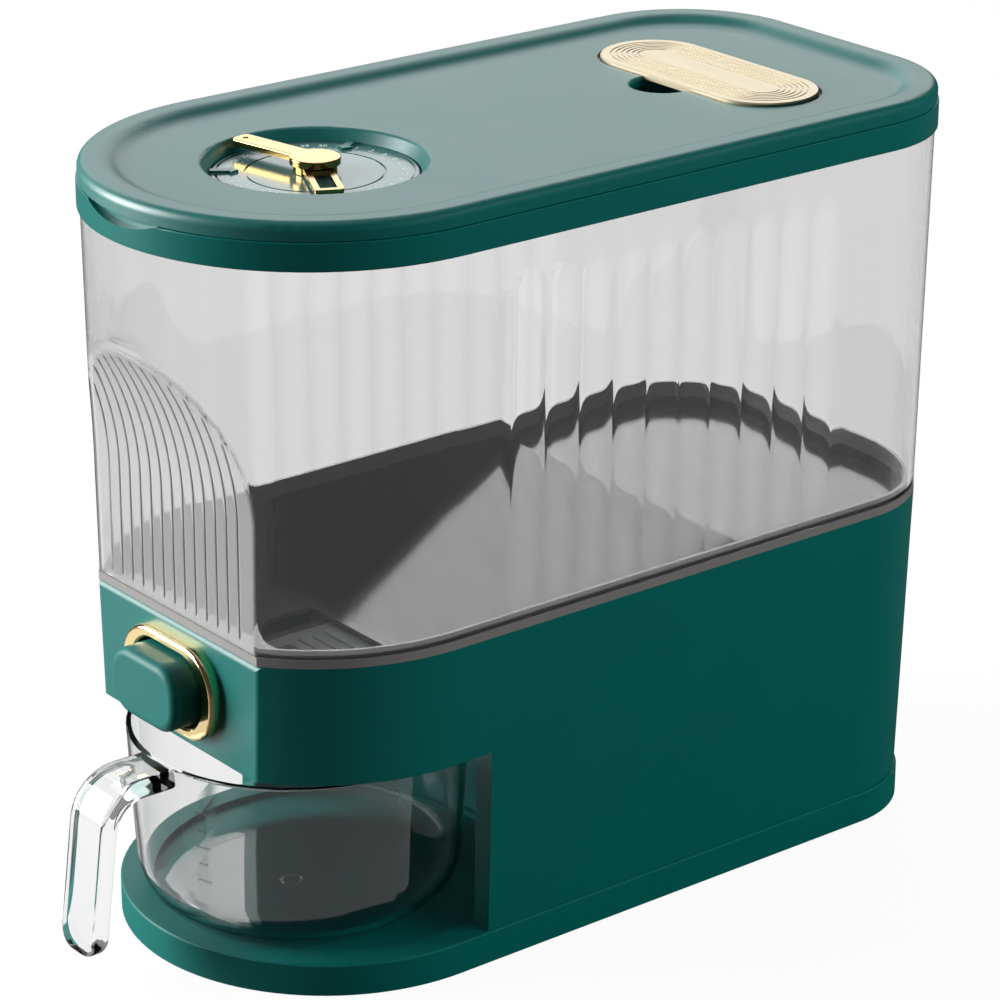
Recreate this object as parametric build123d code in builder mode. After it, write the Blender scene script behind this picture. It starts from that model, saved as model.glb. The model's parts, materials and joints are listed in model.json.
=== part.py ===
from build123d import *
import math
import os

# Press-type rice dispenser: a clear fluted hopper on a press-gate base, a hinged lid with a date dial
# and a lift-out moisture box, and a measuring cup that stands in the bay under the outlet.
# Millimetres, +Z up, front towards -Y. The origin is the bottom centre of the bounding box.

# Heights, from the floor up
FOOT_PROUD = 1.0
PLATE_HEIGHT = 13.65
HOUSING_HEIGHT = 129.05
BAY_HEIGHT = 79.35
RIM_HEIGHT = 3.6
HOPPER_HEIGHT = 161.2
COLLAR_GRIP = 5.8
COLLAR_HEIGHT = 11.3
LID_HEIGHT = 7.2
SEAM = 0.3

# Walls and clearances
WALL = 2.5
HOPPER_WALL = 2.4
SHEET = 2.2
FIT = 0.3
SLACK = 0.1
RUN_FIT = 0.06

# Plan of the body
BODY_HALF = 85.7
BODY_REAR = 267.4
BODY_CORNER = 49.8
BODY_SHIFT = 3.3
HOUSING_DRAFT = 1.39
HOPPER_DRAFT = 0.72
HOPPER_SET = 0.25
COLLAR_WALL = 1.2
LID_SET = 0.6

# Foot plate
PLATE_HALF = 86.7
PLATE_REAR = 266.3
PLATE_CORNER = 47.1
PLATE_EDGE = 0.9
RECESS_RADIUS = 75.0
RECESS_DEPTH = 2.5
PLATE_RIB = 2.0
PAD_RADIUS = 9.0
PAD_THICKNESS = 2.5
PAD_X = 56.0
PAD_FRONT = -38.0
PAD_BACK = 228.0
PAD_EDGE = 0.5
SCREW_RADIUS = 1.9
SCREW_HEAD = 3.6
SCREW_BITE = 9.0
HEAD_SEAT = 5.0
BOSS_RADIUS = 5.0
BOSS_BITE = 1.2
SIDE_SCREWS = (107.0, 187.0)
REAR_SCREW_X = 28.5
PLATE_RIBS = (0.0, 80.0, 173.0)

# Bay and facet
BAY_RADIUS = 77.6
BAY_FRONT = 14.8
BAY_EDGE = 2.0
FACET_SET = 73.4
FACET_EDGE = 3.0
COVE_FOOT = 197.0
COVE_RADIUS = 104.0

# Flutes and grooves of the hopper
FLUTE_COUNT = 10
FLUTE_PITCH = 16.88
FLUTE_START = 30.0
FLUTE_DEPTH = 0.4
FLUTE_TOP = 282.0
GROOVE_COUNT = 13
GROOVE_PITCH = 7.3
GROOVE_WIDTH = 1.0
GROOVE_DEPTH = 0.6
GROOVE_STOP = 1.4

# Funnel
LIP_HEIGHT = 3.0
LIP_THICKNESS = 1.5
WELL_HALF = 54.0
WELL_FRONT = -8.0
WELL_BACK = 30.0
RAMP_BACK = 158.0
FRONT_SLOPE_FOOT = -12.0
FRONT_SLOPE_TOP = -54.0
SHELF_DROP = 2.4

# Press gate
TRAVEL = 10.0
CHUTE_PLATE = 2.0
CHUTE_HALF = 53.0
CHUTE_FRONT = -20.0
CHUTE_BACK = 36.0
SLOT_HALF = 34.0
SLOT_FRONT = 5.0
SPOUT_WALL = 2.4
GATE_HALF = 42.0
GATE_THICKNESS = 2.5
GATE_BACK = 33.0
RIB_HEIGHT = 0.9
RIB_COUNT = 3
RIB_PITCH = 6.5
RAIL_WIDTH = 3.0
SMALL_SCREW = 1.5
SMALL_HEAD = 2.8
SMALL_HEAD_HEIGHT = 1.8

# Button
BUTTON_RISE = 24.8
CAP_WIDTH = 44.0
CAP_HEIGHT = 28.0
CAP_CORNER = 12.0
CAP_PROUD = 17.1
CAP_BACK = 9.4
CAP_EDGE = 3.2
CAP_WALL = 2.4
BEZEL_WIDTH = 62.0
BEZEL_HEIGHT = 39.0
BEZEL_CORNER = 18.0
BEZEL_PROUD = 5.4
BEZEL_GAP = 1.5
BEZEL_FLARE = 0.8
BEZEL_EDGE = 1.8
FLARE_ANGLE = 45.0
SLEEVE_WALL = 2.0
CARRIAGE_PLATE = 2.6
CARRIAGE_HALF = 19.0
SPRING_RADIUS = 6.0
SPRING_WIRE = 0.6
SPRING_TURNS = 5
SPRING_RISE = 12.0
SPRING_POST = 4.0
BRIDGE_BACK = -35.0
BRIDGE_THICKNESS = 3.0
BRIDGE_GAP = 2.0
BRIDGE_HEIGHT = 14.0
BRIDGE_FOOT = 12.0

# Lid
RIM_FLAT = 11.2
RIM_SLOPE = 5.5
PANEL_DROP = 3.4
DISH_SOFT = 8.0
PANEL_THICKNESS = 2.4
LID_EDGE = 3.6
COLLAR_EDGE = 0.6
PLUG_DEPTH = 8.0
PLUG_WALL = 2.2
MOUTH_INSET = 6.0
SEAL_WIDTH = 2.2
SEAL_HEIGHT = 3.0
SEAL_EDGE = 0.55
NOTCH_HALF = 23.0
NOTCH_DEPTH = 4.2
NOTCH_SET = 4.4
HINGE_BACK = 3.9
KNUCKLE_RADIUS = 2.9
KNUCKLE_HALF = 10.0
KNUCKLE_LENGTH = 12.0
KNUCKLE_ROOT = 8.7
PIN_RADIUS = 1.4

# Dial
DIAL_RADIUS = 40.4
DIAL_THICKNESS = 2.0
DIAL_DROP = 4.7
DIAL_EDGE = 0.7
DIAL_SLOPE = 3.4
DIAL_SOFT = 2.0
POST_RADIUS = 2.5
DIAL_GROOVE = 27.0
RING_WIDTH = 1.0
RING_DEPTH = 0.5
CLIP_ANGLES = (123.0, 234.0)
CLIP_INNER = 29.5
CLIP_STEM = 3.2
CLIP_WIDTH = 6.4
CLIP_THICKNESS = 1.0
SHORT_REACH = 35.0
SHORT_WIDTH = 11.5
SHORT_ANGLE = -27.0
SHORT_THICKNESS = 1.9
WINDOW_BORDER = 2.4
LONG_REACH = 41.4
LONG_WIDTH = 9.4
LONG_ANGLE = 190.7
LONG_THICKNESS = 2.7
LONG_CORNER = 3.0
MARK_LENGTH = 7.0
MARK_WIDTH = 4.0
MARK_STEM = 1.4
MARK_DEPTH = 0.4
HAND_EDGE = 0.65
HUB_RADIUS = 8.6
HEAD_RADIUS = 10.0

# Moisture box and its cover
COVER_LENGTH = 113.0
COVER_WIDTH = 46.5
COVER_THICKNESS = 2.6
COVER_Y = 197.5
COVER_SEAT = 1.6
COVER_GAP = 1.2
COVER_RING_SET = 4.0
COVER_RING_PITCH = 2.3
COVER_RING_COUNT = 6
COVER_RING_WIDTH = 0.8
COVER_RING_DEPTH = 0.3
BOX_LENGTH = 99.0
BOX_WIDTH = 27.0
BOX_DEPTH = 14.0
BOX_CORNER = 6.0
BOX_WALL = 1.5
BOX_SHIFT = 4.5
BOX_VENT = 3.0
VENT_COUNT = 9
VENT_PITCH = 9.5
PACK_HEIGHT = 8.0
PACK_EDGE = 2.6
HOLE_RADIUS = 13.0
HOLE_Y = 172.0
HOLE_DEPTH = 10.0
HOLE_SOFT = 1.5

# Measuring cup
CUP_RADIUS = 69.3
CUP_HEIGHT = 74.8
CUP_SLOPE = 2.9
CUP_CURVE = 19.0
CUP_WALL = 2.2
CUP_SHIFT = 15.8
CUP_RIM = 0.7
HANDLE_HALF = 12.0
HANDLE_THICKNESS = 8.5
HANDLE_DROP = 0.2
HANDLE_LENGTH = 72.4
HANDLE_OUT = 27.6
HANDLE_REACH = 40.3
HANDLE_BEND = 17.0
HANDLE_TONGUE = 9.0
HANDLE_EDGE = 2.6

# Levels
PLATE_TOP = FOOT_PROUD + PLATE_HEIGHT
CEILING = PLATE_TOP + BAY_HEIGHT
HOUSING_TOP = PLATE_TOP + HOUSING_HEIGHT
HOPPER_FOOT = HOUSING_TOP + RIM_HEIGHT
HOPPER_TOP = HOPPER_FOOT + HOPPER_HEIGHT
COLLAR_FOOT = HOPPER_TOP - COLLAR_GRIP
COLLAR_TOP = COLLAR_FOOT + COLLAR_HEIGHT
LID_FOOT = COLLAR_TOP + SEAM
LID_TOP = LID_FOOT + LID_HEIGHT
PANEL_TOP = LID_TOP - PANEL_DROP
PANEL_FOOT = PANEL_TOP - PANEL_THICKNESS
CHUTE_FOOT = CEILING + WALL
GATE_FOOT = CHUTE_FOOT + CHUTE_PLATE + FIT
GATE_TOP = GATE_FOOT + GATE_THICKNESS
FUNNEL_FOOT = GATE_TOP + RIB_HEIGHT + FIT
FUNNEL_FLOOR = FUNNEL_FOOT + SHEET
BUTTON_Z = CEILING + BUTTON_RISE
SPRING_Z = GATE_TOP + SPRING_RISE

# How far each outline stands outside the foot of the housing
HOUSING_GROW = HOUSING_HEIGHT * math.tan(math.radians(HOUSING_DRAFT))
HOPPER_FOOT_GROW = HOUSING_GROW - HOPPER_SET
HOPPER_TOP_GROW = HOPPER_FOOT_GROW + HOPPER_HEIGHT * math.tan(math.radians(HOPPER_DRAFT))
COLLAR_GROW = HOPPER_TOP_GROW + COLLAR_WALL
LID_GROW = COLLAR_GROW - LID_SET
MOUTH_GROW = COLLAR_GROW - MOUTH_INSET
PLUG_GROW = MOUTH_GROW - FIT - SEAL_WIDTH

# Places along the length, from the centre of the foot plate's round front
HINGE_REAR = BODY_REAR + COLLAR_GROW + HINGE_BACK
CUP_FRONT = CUP_SHIFT + CUP_RADIUS + HANDLE_REACH
ARC_Y = (CUP_FRONT - HINGE_REAR - KNUCKLE_RADIUS) / 2
BODY_Y = ARC_Y - BODY_SHIFT
FACET_Y = ARC_Y - FACET_SET
HINGE_Y = ARC_Y + HINGE_REAR
HINGE_Z = COLLAR_TOP
DIAL_Y = BODY_Y
CUP_Y = ARC_Y - CUP_SHIFT
CARRIAGE_Y = FACET_Y + CAP_BACK
BRIDGE_Y = ARC_Y + BRIDGE_BACK


def rounded_plan(half, centre_y, rear, corner, height):
    """Plan with a half-round front, straight sides and rounded rear corners."""
    with BuildSketch(Plane.XY.offset(height)) as plan:
        with BuildLine():
            ThreePointArc((-half, centre_y), (0, centre_y - half), (half, centre_y))
            Polyline((half, centre_y), (half, rear), (-half, rear), (-half, centre_y))
        make_face()
        fillet(plan.vertices().group_by(Axis.Y)[-1], corner)
    return plan.sketch


def body_plan(grow, height):
    """The body's plan, grown outwards from the foot of the housing."""
    return rounded_plan(BODY_HALF + grow, BODY_Y, ARC_Y + BODY_REAR + grow, BODY_CORNER + grow, height)


def housing_grow(height):
    """Growth of the drafted housing wall at a height."""
    return (height - PLATE_TOP) * math.tan(math.radians(HOUSING_DRAFT))


def hopper_grow(height):
    """Growth of the drafted hopper wall at a height."""
    return HOPPER_FOOT_GROW + (height - HOPPER_FOOT) * math.tan(math.radians(HOPPER_DRAFT))


def cove_point(radius, turn):
    """Point of the facet's cove, in YZ, at a turn in degrees above the flat."""
    angle = math.radians(turn)
    return (FACET_Y - COVE_RADIUS + radius * math.cos(angle), COVE_FOOT + radius * math.sin(angle))


def cove_turn(y):
    """Turn at which the cove reaches a place y."""
    return math.degrees(math.acos((y - FACET_Y + COVE_RADIUS) / COVE_RADIUS))


def cut_facet(inset):
    """Cut the flat front facet and the cove above it, set back by the inset."""
    front = BODY_Y - 2 * BODY_HALF
    with BuildSketch(Plane.YZ) as side:
        with BuildLine():
            flat = Line((FACET_Y + inset, 0), (FACET_Y + inset, COVE_FOOT))
            turn = cove_turn(BODY_Y - BODY_HALF - BODY_SHIFT - COLLAR_GROW)
            middle = cove_point(COVE_RADIUS + inset, turn / 2)
            cove = ThreePointArc(flat @ 1, middle, cove_point(COVE_RADIUS + inset, turn))
            Polyline(cove @ 1, (front, (cove @ 1).Y), (front, 0), flat @ 0)
        make_face()
    extrude(side.sketch, amount=2 * BODY_HALF, both=True, mode=Mode.SUBTRACT)


def cut_bay(grow):
    """Cut the open bay under the overhang, larger by the grow amount."""
    front = ARC_Y + BAY_FRONT + grow
    depth = 2 * BODY_HALF
    with BuildSketch(Plane.XY.offset(PLATE_TOP)) as bay:
        with Locations((0, front - depth / 2)):
            Rectangle(4 * BODY_HALF, depth)
        with Locations((0, ARC_Y)):
            Circle(BAY_RADIUS + grow)
        corners = bay.vertices().filter_by(lambda v: abs(v.X) < BODY_HALF and v.Y > front - SLACK)
        fillet(corners, BAY_EDGE)
    extrude(bay.sketch, amount=BAY_HEIGHT + grow, mode=Mode.SUBTRACT)


def side_sheet(points):
    """Closed outline in YZ, given from the foot plate's arc centre, ready to extrude along X."""
    with BuildSketch(Plane.YZ) as sheet:
        with BuildLine():
            Polyline(*[(ARC_Y + y, z) for y, z in points], close=True)
        make_face()
    return sheet.sketch


def stadium(length, width, centre_y, height):
    """Stadium outline along X."""
    with BuildSketch(Plane.XY.offset(height)) as outline:
        with Locations((0, centre_y)):
            SlotOverall(length, width)
    return outline.sketch


def rounded_box(length, width, corner, centre_y, height):
    """Rounded rectangle in plan."""
    with BuildSketch(Plane.XY.offset(height)) as outline:
        with Locations((0, centre_y)):
            RectangleRounded(length, width, corner)
    return outline.sketch


def front_outline(width, height, corner, y):
    """Rounded rectangle round the button's axis, facing the front."""
    plane = Plane(origin=(0, y, BUTTON_Z), x_dir=(1, 0, 0), z_dir=(0, -1, 0))
    with BuildSketch(plane) as outline:
        RectangleRounded(width, height, corner)
    return outline.sketch


def finish(name, label):
    """Label a finished piece and write it."""
    name.part.label = label
    export_step(name.part, f"parts/{label}.step")


os.makedirs("parts", exist_ok=True)

# Foot plate with a shallow cup recess, ribbed underneath
PAD_PLACES = [(x, ARC_Y + y) for x in (-PAD_X, PAD_X) for y in (PAD_FRONT, PAD_BACK)]
SIDE_BOSS_X = BODY_HALF - WALL - BOSS_RADIUS + BOSS_BITE
REAR_BOSS_Y = ARC_Y + BODY_REAR - WALL - BOSS_RADIUS + BOSS_BITE
SCREW_PLACES = [(x, ARC_Y + y) for x in (-SIDE_BOSS_X, SIDE_BOSS_X) for y in SIDE_SCREWS]
SCREW_PLACES += [(x, REAR_BOSS_Y) for x in (-REAR_SCREW_X, REAR_SCREW_X)]
POCKET_TOP = PLATE_TOP - RECESS_DEPTH - WALL

with BuildPart() as foot_plate:
    plate_plan = rounded_plan(PLATE_HALF, ARC_Y, ARC_Y + PLATE_REAR, PLATE_CORNER, FOOT_PROUD)
    extrude(plate_plan, amount=PLATE_HEIGHT)
    fillet(foot_plate.edges().group_by(Axis.Z)[-1], PLATE_EDGE)
    with BuildSketch(Plane.XY.offset(PLATE_TOP)) as recess:
        with Locations((0, ARC_Y)):
            Circle(RECESS_RADIUS)
    extrude(recess.sketch, amount=-RECESS_DEPTH, mode=Mode.SUBTRACT)
    with BuildSketch(Plane.XY.offset(FOOT_PROUD)) as pocket:
        add(rounded_plan(PLATE_HALF - WALL, ARC_Y, ARC_Y + PLATE_REAR - WALL, PLATE_CORNER - WALL, 0))
        Rectangle(PLATE_RIB, 4 * PLATE_REAR, mode=Mode.SUBTRACT)
        with Locations(*[(0, ARC_Y + y) for y in PLATE_RIBS]):
            Rectangle(4 * PLATE_HALF, PLATE_RIB, mode=Mode.SUBTRACT)
        with Locations(*PAD_PLACES):
            Circle(PAD_RADIUS + WALL, mode=Mode.SUBTRACT)
        with Locations(*SCREW_PLACES):
            Circle(SCREW_HEAD + WALL, mode=Mode.SUBTRACT)
    extrude(pocket.sketch, amount=POCKET_TOP - FOOT_PROUD, mode=Mode.SUBTRACT)
    with BuildSketch(Plane.XY) as pad_seats:
        with Locations(*PAD_PLACES):
            Circle(PAD_RADIUS + SLACK)
    extrude(pad_seats.sketch, amount=PAD_THICKNESS, mode=Mode.SUBTRACT)
    with BuildSketch(Plane.XY.offset(FOOT_PROUD)) as head_seats:
        with Locations(*SCREW_PLACES):
            Circle(SCREW_HEAD + SLACK)
    extrude(head_seats.sketch, amount=HEAD_SEAT, mode=Mode.SUBTRACT)
    with BuildSketch(Plane.XY.offset(FOOT_PROUD)) as shank_holes:
        with Locations(*SCREW_PLACES):
            Circle(SCREW_RADIUS + SLACK)
    extrude(shank_holes.sketch, amount=PLATE_HEIGHT, mode=Mode.SUBTRACT)
finish(foot_plate, "foot_plate")

# Four rubber pads let into the plate
with BuildPart() as rubber_feet:
    with BuildSketch() as pads:
        with Locations(*PAD_PLACES):
            Circle(PAD_RADIUS)
    extrude(pads.sketch, amount=PAD_THICKNESS)
    fillet(rubber_feet.edges().group_by(Axis.Z)[0], PAD_EDGE)
finish(rubber_feet, "rubber_feet")

# Six screws from under the plate into the housing
SCREW_HEAD_TOP = FOOT_PROUD + HEAD_SEAT
with BuildPart() as plate_screws:
    with BuildSketch(Plane.XY.offset(SCREW_HEAD_TOP - WALL)) as heads:
        with Locations(*SCREW_PLACES):
            Circle(SCREW_HEAD)
    extrude(heads.sketch, amount=WALL)
    with BuildSketch(Plane.XY.offset(SCREW_HEAD_TOP)) as shanks:
        with Locations(*SCREW_PLACES):
            Circle(SCREW_RADIUS)
    extrude(shanks.sketch, amount=PLATE_TOP + SCREW_BITE - SCREW_HEAD_TOP)
finish(plate_screws, "plate_screws")

# Base housing: a drafted shell with the open cup bay and the overhang above it
with BuildPart() as housing_room:
    extrude(body_plan(-WALL, PLATE_TOP), amount=HOUSING_HEIGHT, taper=-HOUSING_DRAFT)
    cut_facet(WALL)
    cut_bay(WALL)

SLEEVE_WIDTH = CAP_WIDTH + 2 * BEZEL_GAP + 2 * SLEEVE_WALL
SLEEVE_HEIGHT = CAP_HEIGHT + 2 * BEZEL_GAP + 2 * SLEEVE_WALL
SLEEVE_CORNER = CAP_CORNER + BEZEL_GAP + SLEEVE_WALL
SLOT_Y = ARC_Y + SLOT_FRONT + TRAVEL / 2
SPOUT_HALF = SLOT_HALF + SPOUT_WALL
SPOUT_DEPTH = TRAVEL + 2 * SPOUT_WALL

with BuildPart() as base_housing:
    extrude(body_plan(0, PLATE_TOP), amount=HOUSING_HEIGHT, taper=-HOUSING_DRAFT)
    cut_facet(0)
    facet_edges = base_housing.edges().filter_by(lambda e: abs(e.center().Y - FACET_Y) < SLACK)
    fillet(facet_edges.filter_by(lambda e: e.length > BAY_HEIGHT), FACET_EDGE)
    cut_bay(0)
    add(housing_room.part, mode=Mode.SUBTRACT)
    sleeve_hole = front_outline(
        SLEEVE_WIDTH + 2 * SLACK, SLEEVE_HEIGHT + 2 * SLACK, SLEEVE_CORNER + SLACK, FACET_Y + 2 * WALL
    )
    extrude(sleeve_hole, amount=4 * WALL, mode=Mode.SUBTRACT)
    spout_hole = rounded_box(2 * (SPOUT_HALF + SLACK), SPOUT_DEPTH + 2 * SLACK, SPOUT_WALL, SLOT_Y, CEILING)
    extrude(spout_hole, amount=WALL, mode=Mode.SUBTRACT)
    with BuildSketch(Plane.XY.offset(PLATE_TOP)) as bosses:
        with Locations(*SCREW_PLACES):
            Circle(BOSS_RADIUS)
    extrude(bosses.sketch, amount=2 * SCREW_BITE)
    with BuildSketch(Plane.XY.offset(PLATE_TOP)) as boss_holes:
        with Locations(*SCREW_PLACES):
            Circle(SCREW_RADIUS + SLACK)
    extrude(boss_holes.sketch, amount=SCREW_BITE + WALL, mode=Mode.SUBTRACT)
finish(base_housing, "base_housing")

# Funnel tray: shelf, ramp and outlet well in one moulding whose rim shows as the grey band
TUB_INSET = WALL + FIT
ROOM_INSET = TUB_INSET + SHEET
SHELF_TOP = HOUSING_TOP - SHELF_DROP
REAR_END = BODY_REAR + COLLAR_GROW
FRONT_END = -FACET_SET - COLLAR_GROW
FLOOR_LINE = [
    (FRONT_END, SHELF_TOP),
    (FRONT_SLOPE_TOP, SHELF_TOP),
    (FRONT_SLOPE_FOOT, FUNNEL_FLOOR),
    (WELL_BACK, FUNNEL_FLOOR),
    (RAMP_BACK, SHELF_TOP),
    (REAR_END, SHELF_TOP),
]
UNDER_LINE = [(y, z - SHEET) for y, z in FLOOR_LINE]
with BuildPart() as funnel_room:
    extrude(
        body_plan(housing_grow(FUNNEL_FOOT) - ROOM_INSET, FUNNEL_FOOT),
        amount=HOUSING_TOP - FUNNEL_FOOT,
        taper=-HOUSING_DRAFT,
    )
    extrude(body_plan(HOUSING_GROW - ROOM_INSET, HOUSING_TOP), amount=RIM_HEIGHT + LIP_HEIGHT)
    cut_facet(ROOM_INSET)
    below = side_sheet([(FRONT_END, 0)] + FLOOR_LINE + [(REAR_END, 0)])
    extrude(below, amount=2 * BODY_HALF, both=True, mode=Mode.SUBTRACT)

with BuildPart() as funnel_rim:
    extrude(body_plan(HOUSING_GROW, HOUSING_TOP), amount=RIM_HEIGHT)
    cut_facet(0)

LIP_INSET = HOPPER_WALL + FIT
with BuildPart() as funnel_lip:
    extrude(body_plan(HOPPER_FOOT_GROW - LIP_INSET, HOPPER_FOOT), amount=LIP_HEIGHT)
    extrude(body_plan(HOPPER_FOOT_GROW - LIP_INSET - LIP_THICKNESS, HOPPER_FOOT), amount=LIP_HEIGHT,
            mode=Mode.SUBTRACT)
    cut_facet(LIP_INSET)

with BuildPart() as funnel_tray:
    extrude(
        body_plan(housing_grow(FUNNEL_FOOT) - TUB_INSET, FUNNEL_FOOT),
        amount=HOUSING_TOP - FUNNEL_FOOT,
        taper=-HOUSING_DRAFT,
    )
    cut_facet(TUB_INSET)
    under = side_sheet([(FRONT_END, 0)] + UNDER_LINE + [(REAR_END, 0)])
    extrude(under, amount=2 * BODY_HALF, both=True, mode=Mode.SUBTRACT)
    add(funnel_rim.part)
    add(funnel_room.part, mode=Mode.SUBTRACT)
    add(funnel_lip.part)
    well_y = ARC_Y + (WELL_BACK + WELL_FRONT) / 2
    well = rounded_box(2 * WELL_HALF, WELL_BACK - WELL_FRONT, SHEET, well_y, FUNNEL_FOOT)
    extrude(well, amount=SHEET, mode=Mode.SUBTRACT)
finish(funnel_tray, "funnel_tray")

# Outlet chute: a plate on the overhang with the outlet slot, its spout and two guide rails
CHUTE_Y = ARC_Y + (CHUTE_FRONT + CHUTE_BACK) / 2
CHUTE_LENGTH = CHUTE_BACK - CHUTE_FRONT
RAIL_X = GATE_HALF + FIT + RAIL_WIDTH / 2
CHUTE_SCREW_X = CHUTE_HALF - SMALL_HEAD - SLACK
CHUTE_SCREWS = [(x, CHUTE_Y + side * (CHUTE_LENGTH / 2 - WALL - SMALL_HEAD))
                for x in (-CHUTE_SCREW_X, CHUTE_SCREW_X) for side in (-1, 1)]
with BuildPart() as outlet_chute:
    extrude(rounded_box(2 * CHUTE_HALF, CHUTE_LENGTH, WALL, CHUTE_Y, CHUTE_FOOT), amount=CHUTE_PLATE)
    extrude(rounded_box(2 * SPOUT_HALF, SPOUT_DEPTH, SPOUT_WALL, SLOT_Y, CHUTE_FOOT), amount=-WALL)
    with BuildSketch(Plane.XY.offset(CHUTE_FOOT + CHUTE_PLATE)) as rails:
        with Locations((-RAIL_X, CHUTE_Y), (RAIL_X, CHUTE_Y)):
            Rectangle(RAIL_WIDTH, CHUTE_LENGTH)
    extrude(rails.sketch, amount=FIT + GATE_THICKNESS)
    slot = rounded_box(2 * SLOT_HALF, TRAVEL, SPOUT_WALL, SLOT_Y, CEILING)
    extrude(slot, amount=WALL + CHUTE_PLATE, mode=Mode.SUBTRACT)
    with Locations(*[(x, y, CHUTE_FOOT + CHUTE_PLATE) for x, y in CHUTE_SCREWS]):
        Hole(SMALL_SCREW + SLACK, depth=CHUTE_PLATE)
finish(outlet_chute, "outlet_chute")

with BuildPart() as chute_screws:
    with BuildSketch(Plane.XY.offset(CHUTE_FOOT + CHUTE_PLATE)) as heads:
        with Locations(*CHUTE_SCREWS):
            Circle(SMALL_HEAD)
    extrude(heads.sketch, amount=SMALL_HEAD_HEIGHT)
    with BuildSketch(Plane.XY.offset(CHUTE_FOOT)) as shanks:
        with Locations(*CHUTE_SCREWS):
            Circle(SMALL_SCREW)
    extrude(shanks.sketch, amount=CHUTE_PLATE)
finish(chute_screws, "chute_screws")

# Gate slider: a slotted plate that the button pushes under the well, with the carriage behind the cap
GATE_SLOT_Y = SLOT_Y - TRAVEL
CARRIAGE_TOP = BUTTON_Z + CAP_HEIGHT / 2 - SLACK
GATE_LENGTH = ARC_Y + GATE_BACK - CARRIAGE_Y
with BuildPart() as gate_slider:
    gate_plan = rounded_box(2 * GATE_HALF, GATE_LENGTH, WALL, CARRIAGE_Y + GATE_LENGTH / 2, GATE_FOOT)
    extrude(gate_plan, amount=GATE_THICKNESS)
    upright_plane = Plane(origin=(0, CARRIAGE_Y, 0), x_dir=(1, 0, 0), z_dir=(0, 1, 0))
    with BuildSketch(upright_plane) as carriage:
        with Locations((0, -(GATE_FOOT + CARRIAGE_TOP) / 2)):
            RectangleRounded(2 * CARRIAGE_HALF, CARRIAGE_TOP - GATE_FOOT, WALL)
    extrude(carriage.sketch, amount=CARRIAGE_PLATE)
    plug_inset = 2 * (CAP_WALL + SLACK)
    plug_corner = CAP_CORNER - plug_inset / 2
    plug = front_outline(CAP_WIDTH - plug_inset, CAP_HEIGHT - plug_inset, plug_corner, CARRIAGE_Y)
    extrude(plug, amount=2 * WALL)
    gate_slot = rounded_box(2 * SLOT_HALF, TRAVEL, SPOUT_WALL, GATE_SLOT_Y, GATE_FOOT)
    extrude(gate_slot, amount=GATE_THICKNESS, mode=Mode.SUBTRACT)
    with BuildSketch(Plane.XY.offset(GATE_TOP)) as ribs:
        with Locations(*[(0, SLOT_Y + RIB_PITCH * index) for index in range(RIB_COUNT)]):
            Rectangle(2 * SLOT_HALF, RIB_HEIGHT)
    extrude(ribs.sketch, amount=RIB_HEIGHT)
    spring_plane = Plane(origin=(0, CARRIAGE_Y + CARRIAGE_PLATE, SPRING_Z), x_dir=(1, 0, 0), z_dir=(0, 1, 0))
    with BuildSketch(spring_plane) as post:
        Circle(SPRING_RADIUS - SPRING_WIRE - FIT)
    extrude(post.sketch, amount=SPRING_POST)
finish(gate_slider, "gate_slider")

# Push button: a hollow cap that plugs onto the carriage
with BuildPart() as push_button:
    cap = front_outline(CAP_WIDTH, CAP_HEIGHT, CAP_CORNER, CARRIAGE_Y)
    extrude(cap, amount=CAP_BACK + CAP_PROUD)
    fillet(push_button.edges().group_by(Axis.Y)[0], CAP_EDGE)
    room_width = CAP_WIDTH - 2 * CAP_WALL
    room_height = CAP_HEIGHT - 2 * CAP_WALL
    cap_room = front_outline(room_width, room_height, CAP_CORNER - CAP_WALL, CARRIAGE_Y)
    extrude(cap_room, amount=CAP_BACK + CAP_PROUD - CAP_WALL, mode=Mode.SUBTRACT)
finish(push_button, "push_button")

# Bezel round the button, with a sleeve through the housing wall
with BuildPart() as button_bezel:
    extrude(front_outline(BEZEL_WIDTH, BEZEL_HEIGHT, BEZEL_CORNER, FACET_Y), amount=BEZEL_PROUD)
    fillet(button_bezel.edges().group_by(Axis.Y)[0], BEZEL_EDGE)
    extrude(front_outline(SLEEVE_WIDTH, SLEEVE_HEIGHT, SLEEVE_CORNER, FACET_Y), amount=-WALL - SLEEVE_WALL)
    opening = (CAP_WIDTH + 2 * BEZEL_GAP, CAP_HEIGHT + 2 * BEZEL_GAP, CAP_CORNER + BEZEL_GAP)
    extrude(front_outline(*opening, FACET_Y + 2 * WALL), amount=4 * WALL, mode=Mode.SUBTRACT)
    flare = front_outline(*opening, FACET_Y - BEZEL_PROUD + BEZEL_FLARE)
    extrude(flare, amount=BEZEL_FLARE, taper=-FLARE_ANGLE, mode=Mode.SUBTRACT)
finish(button_bezel, "button_bezel")

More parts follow.
